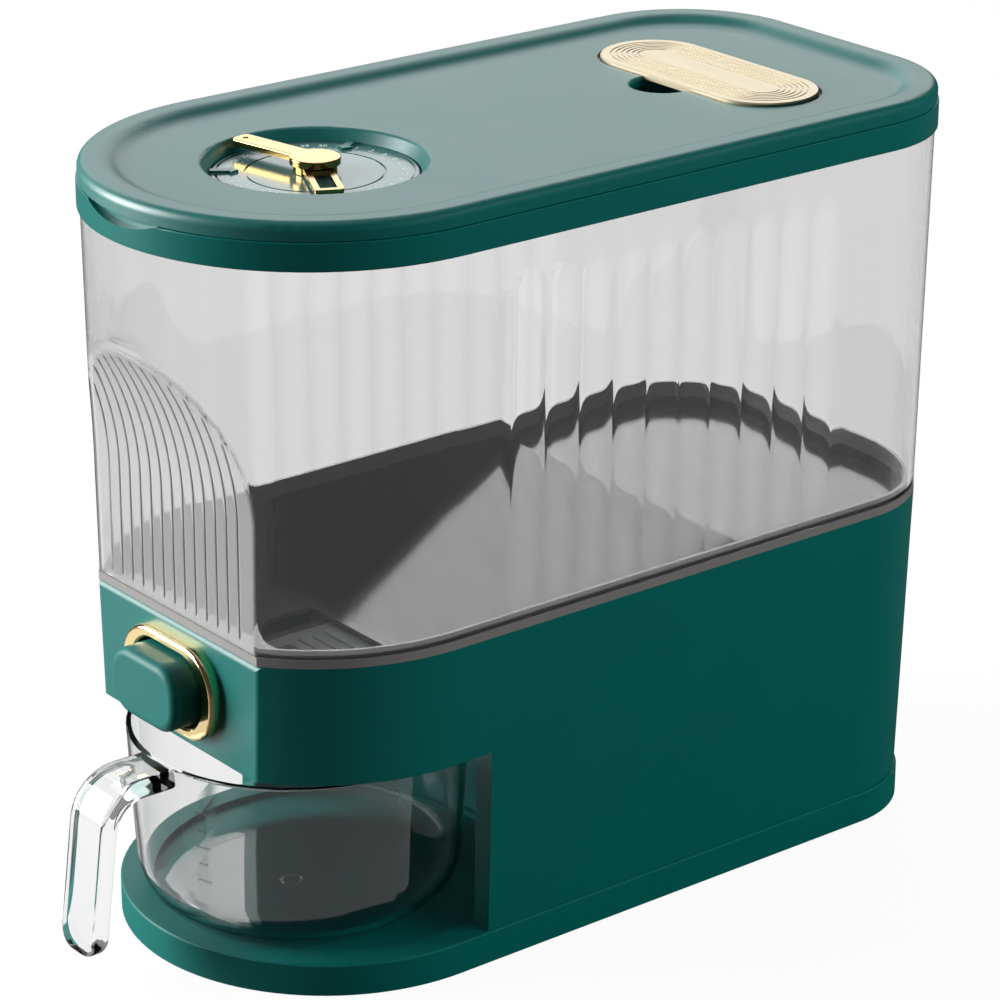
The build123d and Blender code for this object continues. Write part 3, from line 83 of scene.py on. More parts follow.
class Signal:
    """A node socket that takes part in Python arithmetic."""

    def __init__(self, bench: "Bench", socket: bpy.types.NodeSocket) -> None:
        """Hold a socket and the bench that makes its nodes."""
        self.bench = bench
        self.socket = socket

    def _math(self, operation: str, first: Any, second: Any) -> "Signal":
        """Add one Math node.

        Args:
            operation: The Math node's operation.
            first: Signal or number of the first input.
            second: Signal or number of the second input.

        Returns:
            The node's value.
        """
        return self.bench.value("ShaderNodeMath", {"operation": operation}, {0: first, 1: second})

    def __add__(self, other: Any) -> "Signal":
        """Sum."""
        return self._math("ADD", self, other)

    def __radd__(self, other: Any) -> "Signal":
        """Reflected sum."""
        return self._math("ADD", other, self)

    def __sub__(self, other: Any) -> "Signal":
        """Difference."""
        return self._math("SUBTRACT", self, other)

    def __rsub__(self, other: Any) -> "Signal":
        """Reflected difference."""
        return self._math("SUBTRACT", other, self)

    def __mul__(self, other: Any) -> "Signal":
        """Product."""
        return self._math("MULTIPLY", self, other)

    def __rmul__(self, other: Any) -> "Signal":
        """Reflected product."""
        return self._math("MULTIPLY", other, self)

    def largest(self, other: Any) -> "Signal":
        """The larger of two values."""
        return self._math("MAXIMUM", self, other)

    def above(self, level: float) -> "Signal":
        """1 where the value is over a level, and 0 elsewhere."""
        return self._math("GREATER_THAN", self, level)

    def rise(self, low: float, high: float) -> "Signal":
        """Soft step.

        Args:
            low: Value that gives 0.
            high: Value that gives 1; it may be the smaller one.

        Returns:
            A value from 0 to 1.
        """
        inputs = {"Value": self, "From Min": low, "From Max": high}
        return self.bench.value("ShaderNodeMapRange", {"interpolation_type": "SMOOTHSTEP"}, inputs)


class Bench:
    """Makes and links the nodes of one tree."""

    def __init__(self, tree: bpy.types.NodeTree) -> None:
        """Hold the tree."""
        self.tree = tree

    def make(self, kind: str, settings: dict | None = None, inputs: dict | None = None) -> bpy.types.Node:
        """Make one node.

        Args:
            kind: The node's type.
            settings: Attributes, set first.
            inputs: Values or signals by socket name or number.

        Returns:
            The node.
        """
        node = self.tree.nodes.new(kind)
        for name, value in (settings or {}).items():
            setattr(node, name, value)
        for key, value in (inputs or {}).items():
            if isinstance(value, Signal):
                self.tree.links.new(value.socket, node.inputs[key])
            else:
                node.inputs[key].default_value = value
        return node

    def value(self, kind: str, settings: dict | None = None, inputs: dict | None = None,
              out: str | int = 0) -> Signal:
        """Make one node and return one of its outputs.

        Args:
            kind: The node's type.
            settings: Attributes of the node.
            inputs: Values or signals by socket name or number.
            out: Name or number of the output.

        Returns:
            The output as a signal.
        """
        return Signal(self, self.make(kind, settings, inputs).outputs[out])

    def blend(self, factor: Any, first: Any, second: Any) -> Signal:
        """Blend two colours.

        Args:
            factor: Share of the second colour.
            first: Colour or signal.
            second: Colour or signal.

        Returns:
            The blended colour.
        """
        inputs = {0: factor, 6: rgba(first), 7: rgba(second)}
        return self.value("ShaderNodeMix", {"data_type": "RGBA", "clamp_factor": True}, inputs, 2)

    def place(self, scale: Point = (1.0, 1.0, 1.0), centre: Point = (0.0, 0.0, 0.0)) -> Signal:
        """Object coordinates, moved to a centre and scaled.

        Args:
            scale: Scale along each axis.
            centre: Point that becomes the origin, in metres.

        Returns:
            The coordinates.
        """
        coordinates = self.value("ShaderNodeTexCoord", out="Object")
        shift = tuple(-c * s for c, s in zip(centre, scale))
        inputs = {"Vector": coordinates, "Location": shift, "Scale": scale}
        return self.value("ShaderNodeMapping", None, inputs)

    def axis(self, name: str) -> Signal:
        """One object coordinate, in metres, by the name of its axis."""
        coordinates = self.value("ShaderNodeTexCoord", out="Object")
        return self.value("ShaderNodeSeparateXYZ", None, {0: coordinates}, name)

    def attribute(self, name: str) -> Signal:
        """A value that the mesh stores at its points."""
        return self.value("ShaderNodeAttribute", {"attribute_name": name}, None, "Fac")

    def principled(self, sockets: dict[str, Any]) -> Signal:
        """A Principled shader with the given sockets."""
        return self.value("ShaderNodeBsdfPrincipled", None, sockets)

    def mix(self, share: Any, first: Signal, second: Signal) -> Signal:
        """Two shaders mixed, with a share of the second."""
        return self.value("ShaderNodeMixShader", None, {0: share, 1: first, 2: second})

    def noise(self, scale: float, detail: float = 2.0, stretch: Point = (1.0, 1.0, 1.0)) -> Signal:
        """Noise on object coordinates.

        Args:
            scale: Waves in a metre.
            detail: Octaves.
            stretch: Scale of the coordinates along each axis.

        Returns:
            A value from 0 to 1.
        """
        inputs = {"Vector": self.place(stretch), "Scale": scale, "Detail": detail, "Roughness": 0.5}
        return self.value("ShaderNodeTexNoise", None, inputs)

    def bump(self, height: Signal, depth: float, strength: float = 1.0) -> Signal:
        """Normal of a height field.

        Args:
            height: Height from 0 to 1.
            depth: Real depth in metres.
            strength: Strength of the effect.

        Returns:
            The bumped normal.
        """
        return self.value("ShaderNodeBump", None, {"Height": height, "Distance": depth, "Strength": strength})


def rgba(colour: Any) -> Any:
    """Add an alpha to a plain colour, and leave a signal as it is."""
    return colour if isinstance(colour, Signal) else (*colour, 1.0)


def srgb(red: int, green: int, blue: int) -> Colour:
    """Linear colour of an 8-bit display colour.

    Args:
        red: Red from 0 to 255.
        green: Green from 0 to 255.
        blue: Blue from 0 to 255.

    Returns:
        The colour as shaders take it.
    """
    def linear(level: int) -> float:
        """Linear share of one level."""
        share = level / 255
        return share / 12.92 if share <= 0.04045 else ((share + 0.055) / 1.055) ** 2.4
    return (linear(red), linear(green), linear(blue))


@dataclass(frozen=True)
class Finish:
    """A named finish on a Principled shader; each kind adds its own nodes."""

    name: str
    colour: Colour
    roughness: float
    shade: ClassVar[float] = 0.94
    mottle: ClassVar[float] = 60.0
    uneven: ClassVar[float] = 0.1

    def darker(self) -> Colour:
        """The colour of the darker patches."""
        return tuple(level * self.shade for level in self.colour)

    def constants(self) -> dict[str, Any]:
        """Sockets of the shader that are the same all over."""
        return {}

    def dress(self, bench: Bench) -> dict[str, Any]:
        """Sockets of the shader that change over the surface.

        Args:
            bench: Maker of the nodes.

        Returns:
            Signals by socket name.
        """
        mottle = bench.noise(self.mottle)
        rough = self.roughness * (1 - self.uneven + 2 * self.uneven * mottle)
        return {"Base Color": bench.blend(mottle, self.darker(), self.colour), "Roughness": rough}

    def surface(self, bench: Bench) -> Signal:
        """Shader of this finish."""
        return bench.principled({**self.constants(), **self.dress(bench)})

    def material(self) -> bpy.types.Material:
        """Material of this finish, made once.

        Returns:
            The material.
        """
        found = bpy.data.materials.get(self.name)
        if found:
            return found
        material = bpy.data.materials.new(self.name)
        material.use_nodes = True
        material.node_tree.nodes.clear()
        bench = Bench(material.node_tree)
        bench.make("ShaderNodeOutputMaterial", None, {"Surface": self.surface(bench)})
        return material


@dataclass(frozen=True)
class SatinShell(Finish):
    """Satin moulded plastic with a very fine spark-eroded grain."""

    grain: float = 1500.0
    grain_depth: float = 6e-6
    specular: float = 0.34
    shade: ClassVar[float] = 0.93
    mottle: ClassVar[float] = 25.0
    sheen: ClassVar[float] = 0.04
    mottle_sheen: ClassVar[float] = 0.05
    grain_sheen: ClassVar[float] = 0.03
    relief: ClassVar[float] = 0.5

    def constants(self) -> dict[str, Any]:
        """Specular level of the moulding."""
        return {"Specular IOR Level": self.specular}

    def dress(self, bench: Bench) -> dict[str, Any]:
        """Mottled colour, uneven sheen and a fine grain.

        Args:
            bench: Maker of the nodes.

        Returns:
            Signals by socket name.
        """
        cloud = bench.noise(self.mottle, 3.0)
        grain = bench.noise(self.grain)
        rough = self.roughness - self.sheen
        return {
            "Base Color": bench.blend(cloud, self.darker(), self.colour),
            "Roughness": rough + self.mottle_sheen * cloud + self.grain_sheen * grain,
            "Normal": bench.bump(grain, self.grain_depth, self.relief),
        }


@dataclass(frozen=True)
class ClearPlastic(Finish):
    """Clear moulded plastic with a faint smoke and faint flow haze."""

    refraction: float = 1.49
    shade: ClassVar[float] = 0.95
    mottle: ClassVar[float] = 70.0
    least_haze: ClassVar[float] = 0.4
    flow_stretch: ClassVar[Point] = (1.0, 1.0, 0.05)

    def constants(self) -> dict[str, Any]:
        """Full transmission."""
        return {"Transmission Weight": 1.0, "IOR": self.refraction}

    def dress(self, bench: Bench) -> dict[str, Any]:
        """Slight smoke and flow haze along the height.

        Args:
            bench: Maker of the nodes.

        Returns:
            Signals by socket name.
        """
        flow = bench.noise(self.mottle, 3.0, self.flow_stretch)
        smoke = bench.blend(flow, self.darker(), self.colour)
        return {"Base Color": smoke, "Roughness": self.roughness * (self.least_haze + flow)}


@dataclass(frozen=True)
class FlutedClear(ClearPlastic):
    """Clear plastic of the hopper, with a paler tint along each flute that paints streaks of light, and hazy
    on the ribbed facet.
    """

    # Paler tint in the flutes: painted streaks of light.
    flute: Colour = (0.905, 0.905, 0.905)
    haze: Colour = (0.3, 0.3, 0.3)
    haze_roughness: float = 0.5
    haze_share: float = 0.5

    def dress(self, bench: Bench) -> dict[str, Any]:
        """Flow haze, and a paler tint along the flutes, painted streaks of light, from the shell's own
        attribute.

        Args:
            bench: Maker of the nodes.

        Returns:
            Signals by socket name.
        """
        sockets = super().dress(bench)
        # Painted streaks of light: a paler tint where the flute is deepest.
        share = bench.attribute(HopperShell.flute_mark)
        sockets["Base Color"] = bench.blend(share, sockets["Base Color"], self.flute)
        return sockets

    def surface(self, bench: Bench) -> Signal:
        """The clear shader, and a pale one over it on the outside of the facet.

        Args:
            bench: Maker of the nodes.

        Returns:
            The mixed shader.
        """
        clear = super().surface(bench)
        haze = bench.principled({"Base Color": rgba(self.haze), "Roughness": self.haze_roughness})
        return bench.mix(self.haze_share * bench.attribute(HopperShell.facet_mark), clear, haze)


@dataclass(frozen=True)
class CupPlastic(ClearPlastic):
    """Clear plastic of the cup, with a weaker refraction in its handle."""

    handle_from: float = -0.157
    handle_fade: float = 0.003
    handle_refraction: float = 1.3

    def surface(self, bench: Bench) -> Signal:
        """Two shaders, parted where the handle leaves the bowl.

        Args:
            bench: Maker of the nodes.

        Returns:
            The mixed shader.
        """
        bowl = super().surface(bench)
        handle = bench.principled({**self.constants(), **self.dress(bench), "IOR": self.handle_refraction})
        share = bench.axis("Y").rise(self.handle_from + self.handle_fade, self.handle_from)
        return bench.mix(share, bowl, handle)


@dataclass(frozen=True)
class GlossTray(Finish):
    """Glossy dark moulding with faint rubbing marks, and painted light that makes its top band and its front
    paler.
    """

    refraction: float = 1.65
    # Paler grey on the top band, above its foot: painted light.
    rim_painted_light: Colour = (0.16, 0.152, 0.148)
    rim_painted_light_foot: float = 0.14365
    # Paler grey towards the front: painted light.
    front_painted_light: Colour = (0.13, 0.13, 0.13)
    front_painted_light_from: float = -0.038
    front_painted_light_full: float = -0.052
    shade: ClassVar[float] = 0.85
    mottle: ClassVar[float] = 30.0
    rub: ClassVar[float] = 350.0
    rub_sheen: ClassVar[float] = 0.08
    rub_stretch: ClassVar[Point] = (1.0, 0.06, 0.06)

    def constants(self) -> dict[str, Any]:
        """Strong gloss."""
        return {"Specular IOR Level": 1.0, "IOR": self.refraction}

    def dress(self, bench: Bench) -> dict[str, Any]:
        """Rubbing marks in the gloss, a mottled grey, and painted light on the front and on the top band.

        Args:
            bench: Maker of the nodes.

        Returns:
            Signals by socket name.
        """
        rub = bench.noise(self.rub, 3.0, self.rub_stretch)
        cloud = bench.noise(self.mottle)
        grey = bench.blend(cloud, self.darker(), self.colour)
        # Painted light: paler grey towards the front.
        grey = bench.blend(bench.axis("Y").rise(self.front_painted_light_from, self.front_painted_light_full), grey, self.front_painted_light)
        return {
            # Painted light: paler grey above the top band's foot.
            "Base Color": bench.blend(bench.axis("Z").above(self.rim_painted_light_foot), grey, self.rim_painted_light),
            "Roughness": self.roughness + self.rub_sheen * rub,
        }


@dataclass(frozen=True)
class PlatedGold(Finish):
    """Bright plated gold; a brushed one has fine lines along X."""

    lines: float = 0.0
    line_depth: float = 4e-6
    mottle: ClassVar[float] = 80.0
    mottle_sheen: ClassVar[float] = 0.03
    line_sheen: ClassVar[float] = 0.16
    line_stretch: ClassVar[Point] = (0.02, 1.0, 1.0)
    line_relief: ClassVar[float] = 0.6
    warm_cast: ClassVar[Colour] = (0.97, 0.94, 0.9)

    def constants(self) -> dict[str, Any]:
        """Bare metal."""
        return {"Metallic": 1.0}

    def dress(self, bench: Bench) -> dict[str, Any]:
        """Cloudy plating, and the brush lines.

        Args:
            bench: Maker of the nodes.

        Returns:
            Signals by socket name.
        """
        cloud = bench.noise(self.mottle)
        warm = tuple(level * share for level, share in zip(self.colour, self.warm_cast))
        sockets = {"Base Color": bench.blend(cloud, warm, self.colour)}
        if not self.lines:
            sockets["Roughness"] = self.roughness + self.mottle_sheen * cloud
            return sockets
        brush = bench.noise(self.lines, 4.0, self.line_stretch)
        sockets["Roughness"] = self.roughness + self.line_sheen * brush
        sockets["Normal"] = bench.bump(brush, self.line_depth, self.line_relief)
        return sockets


@dataclass(frozen=True)
class SilveredFace(Finish):
    """Glossy face with a faint silver in it."""

    silver: float = 0.08
    specular: float = 0.3

    def constants(self) -> dict[str, Any]:
        """Share of bare metal, and the gloss."""
        return {"Metallic": self.silver, "Specular IOR Level": self.specular}


@dataclass(frozen=True)
class GrainyMatt(Finish):
    """Matt material with a grain, as rubber, silicone, paper and plain inner mouldings have."""

    grain: float = 900.0
    grain_depth: float = 2e-5
    shade: ClassVar[float] = 0.82
    sheen_swing: ClassVar[float] = 0.06
    relief: ClassVar[float] = 0.6

    def dress(self, bench: Bench) -> dict[str, Any]:
        """Grained colour, gloss and normal.

        Args:
            bench: Maker of the nodes.

        Returns:
            Signals by socket name.
        """
        grain = bench.noise(self.grain, 3.0)
        return {
            "Base Color": bench.blend(grain, self.darker(), self.colour),
            "Roughness": self.roughness - self.sheen_swing + 2 * self.sheen_swing * grain,
            "Normal": bench.bump(grain, self.grain_depth, self.relief),
        }


@dataclass(frozen=True)
class BareSteel(Finish):
    """Zinc-plated steel."""

    def constants(self) -> dict[str, Any]:
        """Bare metal."""
        return {"Metallic": 1.0}


GREEN = srgb(0, 88, 83)
FINISHES: dict[Slot, Finish] = {
    Slot.SHELL: SatinShell("satin_green", GREEN, 0.42),
    Slot.CLEAR: FlutedClear("clear_hopper", (0.845, 0.845, 0.845), 0.012),
    Slot.TRAY: GlossTray("grey_tray", srgb(28, 28, 28), 0.1),
    Slot.GOLD: PlatedGold("bright_gold", (0.95, 0.74, 0.38), 0.1),
    Slot.DIAL: SilveredFace("silvered_dial", (0.06, 0.15, 0.145), 0.16),
    Slot.RUBBER: GrainyMatt("black_rubber", srgb(38, 38, 38), 0.8),
    Slot.SEAL: GrainyMatt("pale_silicone", srgb(208, 210, 206), 0.5, grain_depth=5e-6),
    Slot.STEEL: BareSteel("zinc_steel", srgb(190, 190, 194), 0.3),
    Slot.INNER: GrainyMatt("pale_moulding", srgb(176, 178, 178), 0.45, grain_depth=4e-6),
    Slot.SACHET: GrainyMatt("sachet_paper", srgb(232, 232, 226), 0.85, 1500.0, 5e-5),
}
CUP_CLEAR = CupPlastic("clear_cup", (0.93, 0.93, 0.93), 0.008)
MATT_GREEN = SatinShell("matt_green", GREEN, 0.5, specular=0.25)
GLOSSIER_GREEN = SatinShell("glossier_green", GREEN, 0.3)
HAND_GOLD = PlatedGold("hand_gold", (0.42, 0.29, 0.1), 0.14)
WHITE_PRINT = GrainyMatt("white_print", srgb(225, 232, 230), 0.5, grain_depth=2e-6)
# Painted shade of the screws' cross recesses.
PAINTED_RECESS_SHADE = GrainyMatt("painted_recess_shade", srgb(30, 30, 32), 0.6)
NODE_FINISHES: dict[str, Finish] = {
    "lid": SatinShell("lid_green", GREEN, 0.42, specular=0.58),
    "foot_plate": MATT_GREEN,
    "push_button": MATT_GREEN,
    "top_collar": GLOSSIER_GREEN,
    "dial_clips": GLOSSIER_GREEN,
    "measuring_cup": CUP_CLEAR,
    "compartment_cover": PlatedGold("brushed_gold", (0.5, 0.445, 0.325), 0.36, lines=900.0),
    "short_hand": HAND_GOLD,
    "long_hand": HAND_GOLD,
}


def smooth(mesh: bpy.types.Mesh, angle: float = 30.0) -> None:
    """Shade a mesh smooth and keep its edges sharper than an angle.

    Args:
        mesh: The mesh.
        angle: Angle in degrees.
    """
    mesh.polygons.foreach_set("use_smooth", [True] * len(mesh.polygons))
    mesh.set_sharp_from_angle(angle=math.radians(angle))


def piece(name: str, mesh: bpy.types.Mesh, body: str, slot: Slot, finish: Finish | None = None,
          stands_for: Sequence[str] = ()) -> bpy.types.Object:
    """Put a finished mesh into the scene as a piece that rides a body.

    Args:
        name: The piece's name.
        mesh: Its mesh, already in place.
        body: The body that carries it.
        slot: Slot whose finish it wears when no finish is given.
        finish: Its finish, if not the slot's own.
        stands_for: Nodes that it replaces.

    Returns:
        The object.
    """
    mesh.name = name
    mesh.materials.clear()
    mesh.materials.append((finish or FINISHES[slot]).material())
    obj = bpy.data.objects.new(name, mesh)
    bpy.context.scene.collection.objects.link(obj)
    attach(obj, body)
    if stands_for:
        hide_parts(*stands_for)
    LOG.info("piece %s on %s, %d faces", name, body, len(mesh.polygons))
    return obj


def ring_mesh(name: str, rings: Sequence[Sequence[Point]]) -> bpy.types.Mesh:
    """Mesh of closed rings, joined in order and the last one to the first.

    Args:
        name: Mesh name.
        rings: Rings with the same number of points.

    Returns:
        The mesh, with its faces turned outwards.
    """
    count = len(rings[0])
    verts = [point for ring in rings for point in ring]
    faces = []
    for number in range(len(rings)):
        here = number * count
        there = (number + 1) % len(rings) * count
        for place in range(count):
            after = (place + 1) % count
            faces.append((here + place, here + after, there + after, there + place))
    mesh = bpy.data.meshes.new(name)
    mesh.from_pydata(verts, [], faces)
    work = bmesh.new()
    work.from_mesh(mesh)
    bmesh.ops.recalc_face_normals(work, faces=work.faces)
    work.to_mesh(mesh)
    work.free()
    return mesh


def spread(start: float, end: float, step: float) -> list[float]:
    """Even places from start to just before end.

    Args:
        start: First place.
        end: Where the places stop short.
        step: Greatest distance between two of them.

    Returns:
        The places.
    """
    count = max(1, math.ceil((end - start) / step))
    return [start + (end - start) * i / count for i in range(count)]


def soft_largest(first: float, second: float, soft: float) -> float:
    """The larger of two values, rounded where they meet.

    Args:
        first: One value.
        second: The other value.
        soft: Difference under which they are rounded.

    Returns:
        The value.
    """
    near = max(soft - abs(first - second), 0.0) / soft
    return max(first, second) + near * near * soft / 4


@dataclass
class HopperShell:
    """Clear hopper: drafted wall, fluted sides and a coved facet with fine grooves. Millimetres."""

    flute_mark: ClassVar[str] = "flute"
    facet_mark: ClassVar[str] = "facet"
    wall: float = 2.4
    draft: float = 0.72
    corner: float = 54.7
    edge: float = 0.4
    facet_set: float = 70.1
    facet_soft: float = 1.3
    facet_fade: float = 1.5
    cove_rise: float = 49.7
    cove_radius: float = 104.0
    cove_top: float = 62.0
    front_half: float = 60.0
    arc_steps: int = 15
    groove_count: int = 13
    groove_pitch: float = 7.3
    groove_half: float = 0.55
    groove_depth: float = 0.42
    groove_stop: float = 2.0
    groove_foot: float = 3.4
    groove_lead: float = 1.0
    groove_shares: tuple[float, ...] = (-1, -0.7, -0.35, 0, 0.35, 0.7, 1)
    flute_count: int = 10
    flute_pitch: float = 16.88
    flute_start: float = 24.86
    flute_depth: float = 0.26
    flute_power: float = 6.0
    flute_drop: float = 26.5
    flute_foot: float = 3.4
    flute_fade: float = 2.0
    flute_shares: tuple[float, ...] = (
        -1, -0.95, -0.88, -0.78, -0.62, -0.4, -0.15, 0.15, 0.4, 0.62, 0.78, 0.88, 0.95)
    step: float = 6.0
    tall_step: float = 5.0
    cove_step: float = 0.9
    crown_step: float = 1.2
    crown_lead: float = 2.0
    crown_span: float = 12.0
    inner_step: float = 8.0
    inner_cove_step: float = 2.4
    inner_tall_step: float = 10.0
    front_step: float = 1.1
    corner_turn: float = 0.1

    def __post_init__(self) -> None:
        """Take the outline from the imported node."""
        low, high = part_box("hopper")
        self.half = high.x / MM
        self.centre = low.y / MM + self.half
        self.rear = high.y / MM
        self.foot = low.z / MM
        self.top = high.z / MM
        self.lean = math.tan(math.radians(self.draft))
        self.facet = self.centre - self.facet_set
        self.side = self.rear - self.corner - self.centre

    def facet_y(self, z: float, inset: float) -> float:
        """Place of the facet or of the cove above it at a height.

        Args:
            z: Height.
            inset: How far inside the outer wall.

        Returns:
            The place along Y.
        """
        above = z - self.foot - self.cove_rise
        radius = self.cove_radius + inset
        if above <= 0:
            return self.facet + inset
        return self.facet - self.cove_radius + math.sqrt(max(radius ** 2 - above ** 2, 0.0))

    def groove(self, x: float, z: float, clear: float) -> float:
        """Depth of the grooves on the facet.

        Args:
            x: Place across the facet.
            z: Height.
            clear: How far the round wall stands in front of the facet there.

        Returns:
            Depth in millimetres.
        """
        number = round(x / self.groove_pitch)
        if abs(number) > self.groove_count // 2:
            return 0.0
        off = abs(x - number * self.groove_pitch) / self.groove_half
        if off >= 1:
            return 0.0
        fade = min(max((clear - self.groove_stop) / self.groove_half, 0.0), 1.0)
        fade *= min(max((z - self.foot - self.groove_foot) / self.groove_half, 0.0), 1.0)
        return self.groove_depth * fade * (0.5 + 0.5 * math.cos(math.pi * off))

    def flute(self, s: float, z: float) -> float:
        """Depth of the flutes on a long side.

        Args:
            s: Place behind the centre of the round front.
            z: Height.

        Returns:
            Depth in millimetres.
        """
        fade = min(max((z - self.foot - self.flute_foot) / self.flute_fade, 0.0), 1.0)
        return self.flute_depth * (1 - self.flute_reach(s, z) ** self.flute_power) * fade

    def flute_reach(self, s: float, z: float) -> float:
        """How far a place lies from the middle of its flute.

        Args:
            s: Place behind the centre of the round front.
            z: Height.

        Returns:
            A value from 0 to 1, which is the flute's edge and all beyond.
        """
        number = math.floor((s - self.flute_start) / self.flute_pitch)
        if not 0 <= number < self.flute_count:
            return 1.0
        half = self.flute_pitch / 2
        off = (s - self.flute_start) / half - 2 * number - 1
        over = max(z - (self.top - self.flute_drop), 0.0) / half
        return min(math.hypot(off, over), 1.0)

    def mark_flutes(self, mesh: bpy.types.Mesh) -> None:
        """Store for the finish how deep in a flute each point lies, which sets its painted streaks of light.

        Args:
            mesh: The shell's mesh.
        """
        layer = mesh.attributes.new(self.flute_mark, "FLOAT", "POINT")
        places = [(vertex.co.y / MM - self.centre, vertex.co.z / MM) for vertex in mesh.vertices]
        layer.data.foreach_set("value", [1 - self.flute_reach(s, z) ** 2 for s, z in places])

    def mark_facet(self, mesh: bpy.types.Mesh) -> None:
        """Store for the finish which points lie on the outside of the facet or of its cove.

        Args:
            mesh: The shell's mesh.
        """
        layer = mesh.attributes.new(self.facet_mark, "FLOAT", "POINT")
        shares = []
        for x, y, z in (vertex.co / MM for vertex in mesh.vertices):
            half = self.half - (self.top - z) * self.lean
            facet = self.facet_y(z, 0.0)
            clear = facet - self.centre + math.sqrt(max(half ** 2 - x ** 2, 0.0))
            outer = abs(y - facet) < self.wall / 2
            shares.append(min(max(clear / self.facet_fade, 0.0), 1.0) if outer else 0.0)
        layer.data.foreach_set("value", shares)

    def front_places(self) -> list[float]:
        """Places across the right half of the front, close together at the grooves.

        Returns:
            The places, from the middle outwards.
        """
        places = {0.0}
        for number in range(self.groove_count // 2 + 1):
            middle = number * self.groove_pitch
            places |= {round(middle + share * self.groove_half, 3) for share in self.groove_shares}
            places |= {round(middle + share * self.groove_pitch, 3) for share in (-0.25, 0.25)}
            places.add(round(middle + self.groove_pitch / 2, 3))
        last = max(places)
        places |= {round(x, 3) for x in spread(last, self.front_half, self.front_step)}
        return sorted(x for x in places if x >= 0)

    def front(self, half: float, facet: float, z: float, worked: bool) -> list[tuple[float, float]]:
        """Right half of the front at a height: the round wall, or the facet where that cuts into it.

        Args:
            half: Half the width there.
            facet: Place of the facet along Y.
            z: Height.
            worked: Whether grooves are cut.

        Returns:
            Points (x, y).
        """
        points = []
        for x in self.front_places():
            wall = self.centre - math.sqrt(half ** 2 - x ** 2)
            y = soft_largest(wall, facet, self.facet_soft)
            if worked:
                y += self.groove(x, z, facet - wall)
            points.append((x, y))
        begin = math.asin(self.front_half / half)
        for number in range(self.arc_steps):
            turn = begin + (math.pi / 2 - begin) * number / self.arc_steps
            points.append((half * math.sin(turn), self.centre - half * math.cos(turn)))
        return points

    def side_places(self) -> list[float]:
        """Places along a long side, close together at the edges of each flute.

        Returns:
            The places behind the centre of the round front.
        """
        flutes_end = self.flute_start + self.flute_count * self.flute_pitch
        places = spread(0.0, self.flute_start, self.step)
        for number in range(self.flute_count):
            middle = self.flute_start + (number + 0.5) * self.flute_pitch
            places += [middle + share * self.flute_pitch / 2 for share in self.flute_shares]
        return places + spread(flutes_end, self.side, self.step)

    def half_ring(self, z: float, inset: float, worked: bool) -> list[tuple[float, float]]:
        """Right half of the plan at a height, from the front to the rear.

        Args:
            z: Height.
            inset: How far inside the outer wall.
            worked: Whether flutes and grooves are cut.

        Returns:
            Points (x, y).
        """
        shrink = (self.top - z) * self.lean + inset
        half = self.half - shrink
        corner = self.corner - shrink
        middle_x = half - corner
        middle_y = self.rear - shrink - corner
        points = self.front(half, self.facet_y(z, inset), z, worked)
        for s in self.side_places():
            points.append((half - (self.flute(s, z) if worked else 0.0), self.centre + s))
        for turn in spread(0.0, math.pi / 2, self.corner_turn):
            points.append((middle_x + corner * math.cos(turn), middle_y + corner * math.sin(turn)))
        for x in reversed(spread(0.0, middle_x, self.step)):
            points.append((x, self.rear - shrink))
        return points

    def ring(self, z: float, inset: float, worked: bool) -> list[Point]:
        """Closed ring of the plan at a height.

        Args:
            z: Height.
            inset: How far inside the outer wall.
            worked: Whether flutes and grooves are cut.

        Returns:
            Points in metres.
        """
        right = self.half_ring(z, inset, worked)
        left = [(-x, y) for x, y in reversed(right[1:-1])]
        return [(x * MM, y * MM, z * MM) for x, y in right + left]

    def levels(self) -> list[tuple[float, float, bool]]:
        """Levels of the rings, up the outside and down the inside.

        Returns:
            Height, inset and whether flutes and grooves are cut, for each ring.
        """
        cove = self.foot + self.cove_rise
        arch = cove + self.cove_top
        crown = self.top - self.flute_drop - self.crown_lead
        outer = [self.foot + self.edge, self.foot + self.groove_foot]
        outer += spread(self.foot + self.groove_foot + self.groove_lead, cove, self.step)
        outer += spread(cove, arch, self.cove_step)
        outer += spread(arch, crown, self.tall_step)
        outer += spread(crown, crown + self.crown_span, self.crown_step)
        outer += spread(crown + self.crown_span, self.top - self.edge, self.tall_step)
        inner = spread(self.foot + self.edge, cove, self.inner_step)
        inner += spread(cove, arch, self.inner_cove_step)
        inner += spread(arch, self.top - self.edge, self.inner_tall_step)
        rows = [(self.foot, self.edge, False)]
        rows += [(z, 0.0, True) for z in outer]
        rows += [(self.top - self.edge, 0.0, False), (self.top, self.edge, False)]
        rows += [(self.top, self.wall - self.edge, False), (self.top - self.edge, self.wall, False)]
        rows += [(z, self.wall, False) for z in reversed(inner)]
        rows += [(self.foot, self.wall - self.edge, False)]
        return rows

    def build(self) -> None:
        """Build the shell in place of the plain node."""
        mesh = ring_mesh("hopper_shell", [self.ring(*level) for level in self.levels()])
        smooth(mesh, angle=40.0)
        self.mark_flutes(mesh)
        self.mark_facet(mesh)
        piece("hopper_shell", mesh, "base", Slot.CLEAR, stands_for=("hopper",))


